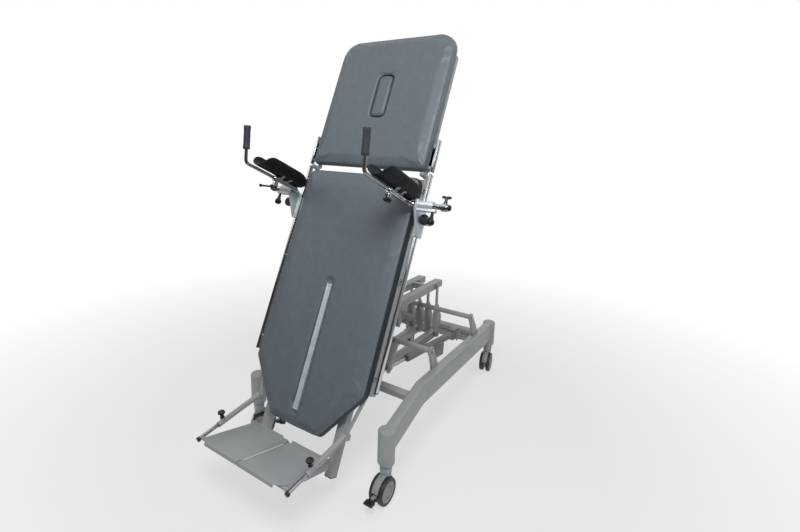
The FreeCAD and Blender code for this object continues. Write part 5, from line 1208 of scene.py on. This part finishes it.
def clamp(side, word):
    """Clamp jaws, the sleeve and their four hand screws."""
    carried("rail_clamp_" + word, "clamp_" + word, "aluminium", 1.0, ALU)
    lobes = sizes().knob_lobes
    disc = [(0, 0), (21, 0), (24, 1.6), (25, 5), (25, 15), (23.6, 18.6), (20, 20), (8, 19.2),
            (0, 19.2)]
    hand_screw(side, word, "disc_knob_", "clamp_knob_", place(408, 13.7, 1040) @ FACING,
               (turned(disc, lobes * 8, lobes, 1.6), BLACK), (pin(6, -38, 0), ZINC))
    low = ARM_V - 28
    mushroom = [(0, -57.5), (9, -57), (15, -53), (17.6, -48), (18, -42), (16.8, -36), (12, -31),
                (8.6, -22), (7.2, -8), (6.6, -0.6), (0, -0.6)]
    hand_screw(side, word, "star_knob_", "sleeve_knob_", place(457, ARM_N),
               (turned([(r, low + z) for r, z in mushroom], 60, 5, 2.2), BLACK),
               (pin(5, low - 2, 1084.1, 20), ZINC))
    neck = [(0, 1116), (7.4, 1116), (7.6, 1122), (6, 1130), (6, 1143), (0, 1143)]
    wing = rounded([(-22, 1145), (-20, 1137.5), (-7, 1135), (7, 1135), (20, 1137.5), (22, 1145),
                    (16, 1148), (0, 1146), (-16, 1148)], 2.5, 4)
    hand_screw(side, word, "wing_knob_", "tee_knob_", place(TEE_U, ARM_N),
               (pin(5, 1109.9, 1117, 20), ZINC), (turned(neck, 24), BLACK),
               (slab(wing, -4.6, 4.6, 1.8, 3), BLACK, FACING))
    top = ARM_V - 34.3
    star = [(0, -16), (14, -16), (18.6, -13), (20, -8), (18.6, -3), (13, 0), (0, 0)]
    lever = swept([(14, 0, 0), (40, 0, 0), (66, 0, 0), (84, 0, 0)], 4.6, 18)
    tip = [(0, 0), (5, 0), (6.4, 3), (7.6, 8), (7.4, 13), (4.5, 16.2), (0, 17)]
    turn = LOCK_TURNS[word] if side > 0 else 180 - LOCK_TURNS[word]
    hand_screw(side, word, "lever_screw_", "lock_knob_",
               place(ARM_U, LOCK_N) @ spun(turn),
               (pin(5, top, 1088.6, 20), ZINC),
               (turned([(r, top + z) for r, z in star], 40, 5, 1.6), BLACK),
               (lever, BLACK, place(0, 0, top - 8)),
               (turned(tip, 28), BLACK, place(82, 0, top - 8) @ ALONG_X))


class TILTTABLE_OT_armrests(bpy.types.Operator):
    """Build the armrest clamps, arms, troughs and hand grips"""
    bl_idname = "tilttable.armrests"
    bl_label = "Armrests"

    def execute(self, context):
        for side, word in SIDES:
            clamp(side, word)
            arm(side, word)
            gutter(side, word)
            hand_grip(side, word)
        return {"FINISHED"}


# Stage

def seen_by(tree, *rays):
    """1 for rays of the named kinds and 0 for all others."""
    path = add(tree, "ShaderNodeLightPath").outputs
    seen = path[rays[0]]
    for ray in rays[1:]:
        seen = add(tree, "ShaderNodeMath", {"operation": "MAXIMUM"},
                   {0: seen, 1: path[ray]}).outputs[0]
    return seen


def studio_world():
    """White to the camera and in what shines, and dimmer as a light."""
    world = bpy.data.worlds.new("Studio")
    tree = emptied(world)
    seen = seen_by(tree, "Is Camera Ray", "Is Transmission Ray", "Is Glossy Ray")
    shade = add(tree, "ShaderNodeBackground", {"Color": (1, 1, 1, 1), "Strength": 0.31})
    white = add(tree, "ShaderNodeBackground", {"Color": (1, 1, 1, 1), "Strength": 1.0})
    mix = add(tree, "ShaderNodeMixShader", {},
              {0: seen, 1: shade.outputs[0], 2: white.outputs[0]})
    add(tree, "ShaderNodeOutputWorld", {}, {"Surface": mix.outputs[0]})
    return world


def studio_floor():
    """A round white floor that fades into the background."""
    paint = bpy.data.materials.new("Studio floor, matt white paint")
    tree = emptied(paint)
    where = add(tree, "ShaderNodeTexCoord").outputs["Object"]
    distance = add(tree, "ShaderNodeVectorMath", {"operation": "LENGTH"}, {0: where})
    fade = add(tree, "ShaderNodeMapRange",
               {"From Min": 1.2, "From Max": 3.2, "To Min": 0.58, "To Max": 1.0},
               {"Value": distance.outputs["Value"]})
    seen = seen_by(tree, "Is Camera Ray", "Is Glossy Ray")
    share = add(tree, "ShaderNodeMath", {"operation": "MULTIPLY"},
                {0: fade.outputs[0], 1: seen})
    matt = add(tree, "ShaderNodeBsdfDiffuse", {"Color": (0.8, 0.8, 0.8, 1)})
    glow = add(tree, "ShaderNodeEmission", {"Color": (1, 1, 1, 1), "Strength": 1.0})
    mix = add(tree, "ShaderNodeMixShader", {},
              {0: share.outputs[0], 1: matt.outputs[0], 2: glow.outputs[0]})
    add(tree, "ShaderNodeOutputMaterial", {}, {"Surface": mix.outputs[0]})
    form = bmesh.new()
    bmesh.ops.create_circle(form, cap_ends=True, radius=14, segments=64)
    data = meshed(form, "Floor")
    data.materials.append(paint)
    linked("Floor", data)


def studio_drapes():
    """Drapes round the camera, dark but pale behind the table, seen only in what shines."""
    felt = bpy.data.materials.new("Studio drape, dark felt")
    tree = emptied(felt)
    where = add(tree, "ShaderNodeTexCoord").outputs["Object"]
    folds = add(tree, "ShaderNodeTexNoise", {"Scale": 0.9, "Detail": 2.0},
                {"Vector": add(tree, "ShaderNodeMapping", {"Scale": (1, 1, 0.15)},
                               {"Vector": where}).outputs[0]}).outputs["Fac"]
    ramp = add(tree, "ShaderNodeValToRGB", {}, {"Fac": folds})
    for stop, share, shade in zip(ramp.color_ramp.elements, (0.35, 0.65),
                                  ("#2E2B29", "#6E6259")):
        stop.position = share
        stop.color = (*linear(shade), 1)
    depth = add(tree, "ShaderNodeSeparateXYZ", {}, {"Vector": where}).outputs["Y"]
    pale = add(tree, "ShaderNodeMapRange", {"From Min": 0.2, "From Max": 0.9},
               {"Value": depth}).outputs["Result"]
    mix = add(tree, "ShaderNodeMix", {"data_type": "RGBA"}, {"Factor": pale})
    dark, light = (socket for socket in mix.inputs if socket.type == "RGBA")
    tree.links.new(ramp.outputs["Color"], dark)
    light.default_value = (*linear("#9A9EA1"), 1)
    colour = next(socket for socket in mix.outputs if socket.type == "RGBA")
    glow = add(tree, "ShaderNodeEmission", {}, {"Color": colour})
    add(tree, "ShaderNodeOutputMaterial", {}, {"Surface": glow.outputs[0]})
    form = bmesh.new()
    steps = 40
    round_by = [math.radians(-215 + 280 * k / steps) for k in range(steps + 1)]
    rows = [[form.verts.new((r * math.cos(a), r * math.sin(a), z)) for a in round_by]
            for r, z in ((1.25, 0.004), (5, 0.004), (5, 4.0))]
    for inner, outer in zip(rows, rows[1:]):
        for k in range(steps):
            form.faces.new((inner[k], inner[k + 1], outer[k + 1], outer[k]))
    data = meshed(form, "Drapes")
    data.materials.append(felt)
    drapes = linked("Drapes", data)
    drapes.visible_camera = drapes.visible_diffuse = drapes.visible_shadow = False


def studio_lamps():
    """Three square lamps turned to the middle of the table."""
    middle = Vector((0, 0, 0.95))
    for label, spot, width, power in (("Key", (1.3, -2.1, 3.5), 1.2, 58),
                                      ("Fill", (-3.2, -2.2, 2.9), 2.4, 11),
                                      ("Side", (3.2, 1.6, 2.8), 1.8, 14)):
        lamp = bpy.data.lights.new(label, "AREA")
        lamp.shape = "SQUARE"
        lamp.size = width
        lamp.energy = power
        obj = linked(label, lamp)
        obj.location = spot
        obj.rotation_mode = "QUATERNION"
        obj.rotation_quaternion = (middle - Vector(spot)).to_track_quat("-Z", "Y")


def studio_camera():
    """The photograph's camera; lens and middle of view are in pixels of its 800 by 532."""
    wide, high, focal, u, v = 800, 532, 482.65, 356.9, 227.8
    lens = bpy.data.cameras.new("Camera")
    lens.sensor_width = 36
    lens.lens = focal / wide * lens.sensor_width
    lens.shift_x = (wide / 2 - u) / wide
    lens.shift_y = -(high / 2 - v) / wide
    lens.clip_end = 60
    camera = linked("Camera", lens)
    yaw, pitch, roll = (math.radians(angle) for angle in (36.1, 11.75, 0.70))
    ahead = Vector((-math.sin(yaw) * math.cos(pitch), math.cos(yaw) * math.cos(pitch),
                    -math.sin(pitch)))
    across = Vector((math.cos(yaw), math.sin(yaw), 0))
    above = across.cross(ahead)
    right = across * math.cos(roll) + above * math.sin(roll)
    top = above * math.cos(roll) - across * math.sin(roll)
    turn = Matrix((right, top, -ahead)).transposed().to_4x4()
    camera.matrix_world = Matrix.Translation((1.3968, -2.0916, 1.6279)) @ turn
    return camera


class TILTTABLE_OT_stage(bpy.types.Operator):
    """Lay the floor, light the table and set the camera"""
    bl_idname = "tilttable.stage"
    bl_label = "Stage"

    def execute(self, context):
        context.scene.view_settings.view_transform = "Standard"
        context.scene.world = studio_world()
        studio_floor()
        studio_drapes()
        studio_lamps()
        context.scene.camera = studio_camera()
        return {"FINISHED"}


PIECES = (
    TILTTABLE_OT_upholstery, TILTTABLE_OT_slot_strip, TILTTABLE_OT_base, TILTTABLE_OT_castors,
    TILTTABLE_OT_lift, TILTTABLE_OT_actuators, TILTTABLE_OT_table_frame,
    TILTTABLE_OT_head_frame, TILTTABLE_OT_footrest, TILTTABLE_OT_armrests, TILTTABLE_OT_stage)


class TILTTABLE_PT_panel(bpy.types.Panel):
    """Sizes, colours and pieces of the tilt table"""
    bl_idname = "TILTTABLE_PT_panel"
    bl_label = "Tilt Table"
    bl_space_type = "VIEW_3D"
    bl_region_type = "UI"
    bl_category = "Tilt Table"

    def draw(self, context):
        for group in (context.scene.tilt_table_sizes, context.scene.tilt_table_colours):
            column = self.layout.column()
            for key in group.__annotations__:
                column.prop(group, key)
        for piece in PIECES:
            self.layout.operator(piece.bl_idname)


CLASSES = (TiltTableSizes, TiltTableColours, *PIECES, TILTTABLE_PT_panel)


def register():
    for cls in CLASSES:
        bpy.utils.register_class(cls)
    bpy.types.Scene.tilt_table_sizes = PointerProperty(type=TiltTableSizes)
    bpy.types.Scene.tilt_table_colours = PointerProperty(type=TiltTableColours)


def unregister():
    del bpy.types.Scene.tilt_table_sizes
    del bpy.types.Scene.tilt_table_colours
    for cls in reversed(CLASSES):
        bpy.utils.unregister_class(cls)


def main():
    register()
    for piece in PIECES:
        group, name = piece.bl_idname.split(".")
        getattr(getattr(bpy.ops, group), name)()
    bpy.context.view_layer.update()


if __name__ == "__main__":
    main()
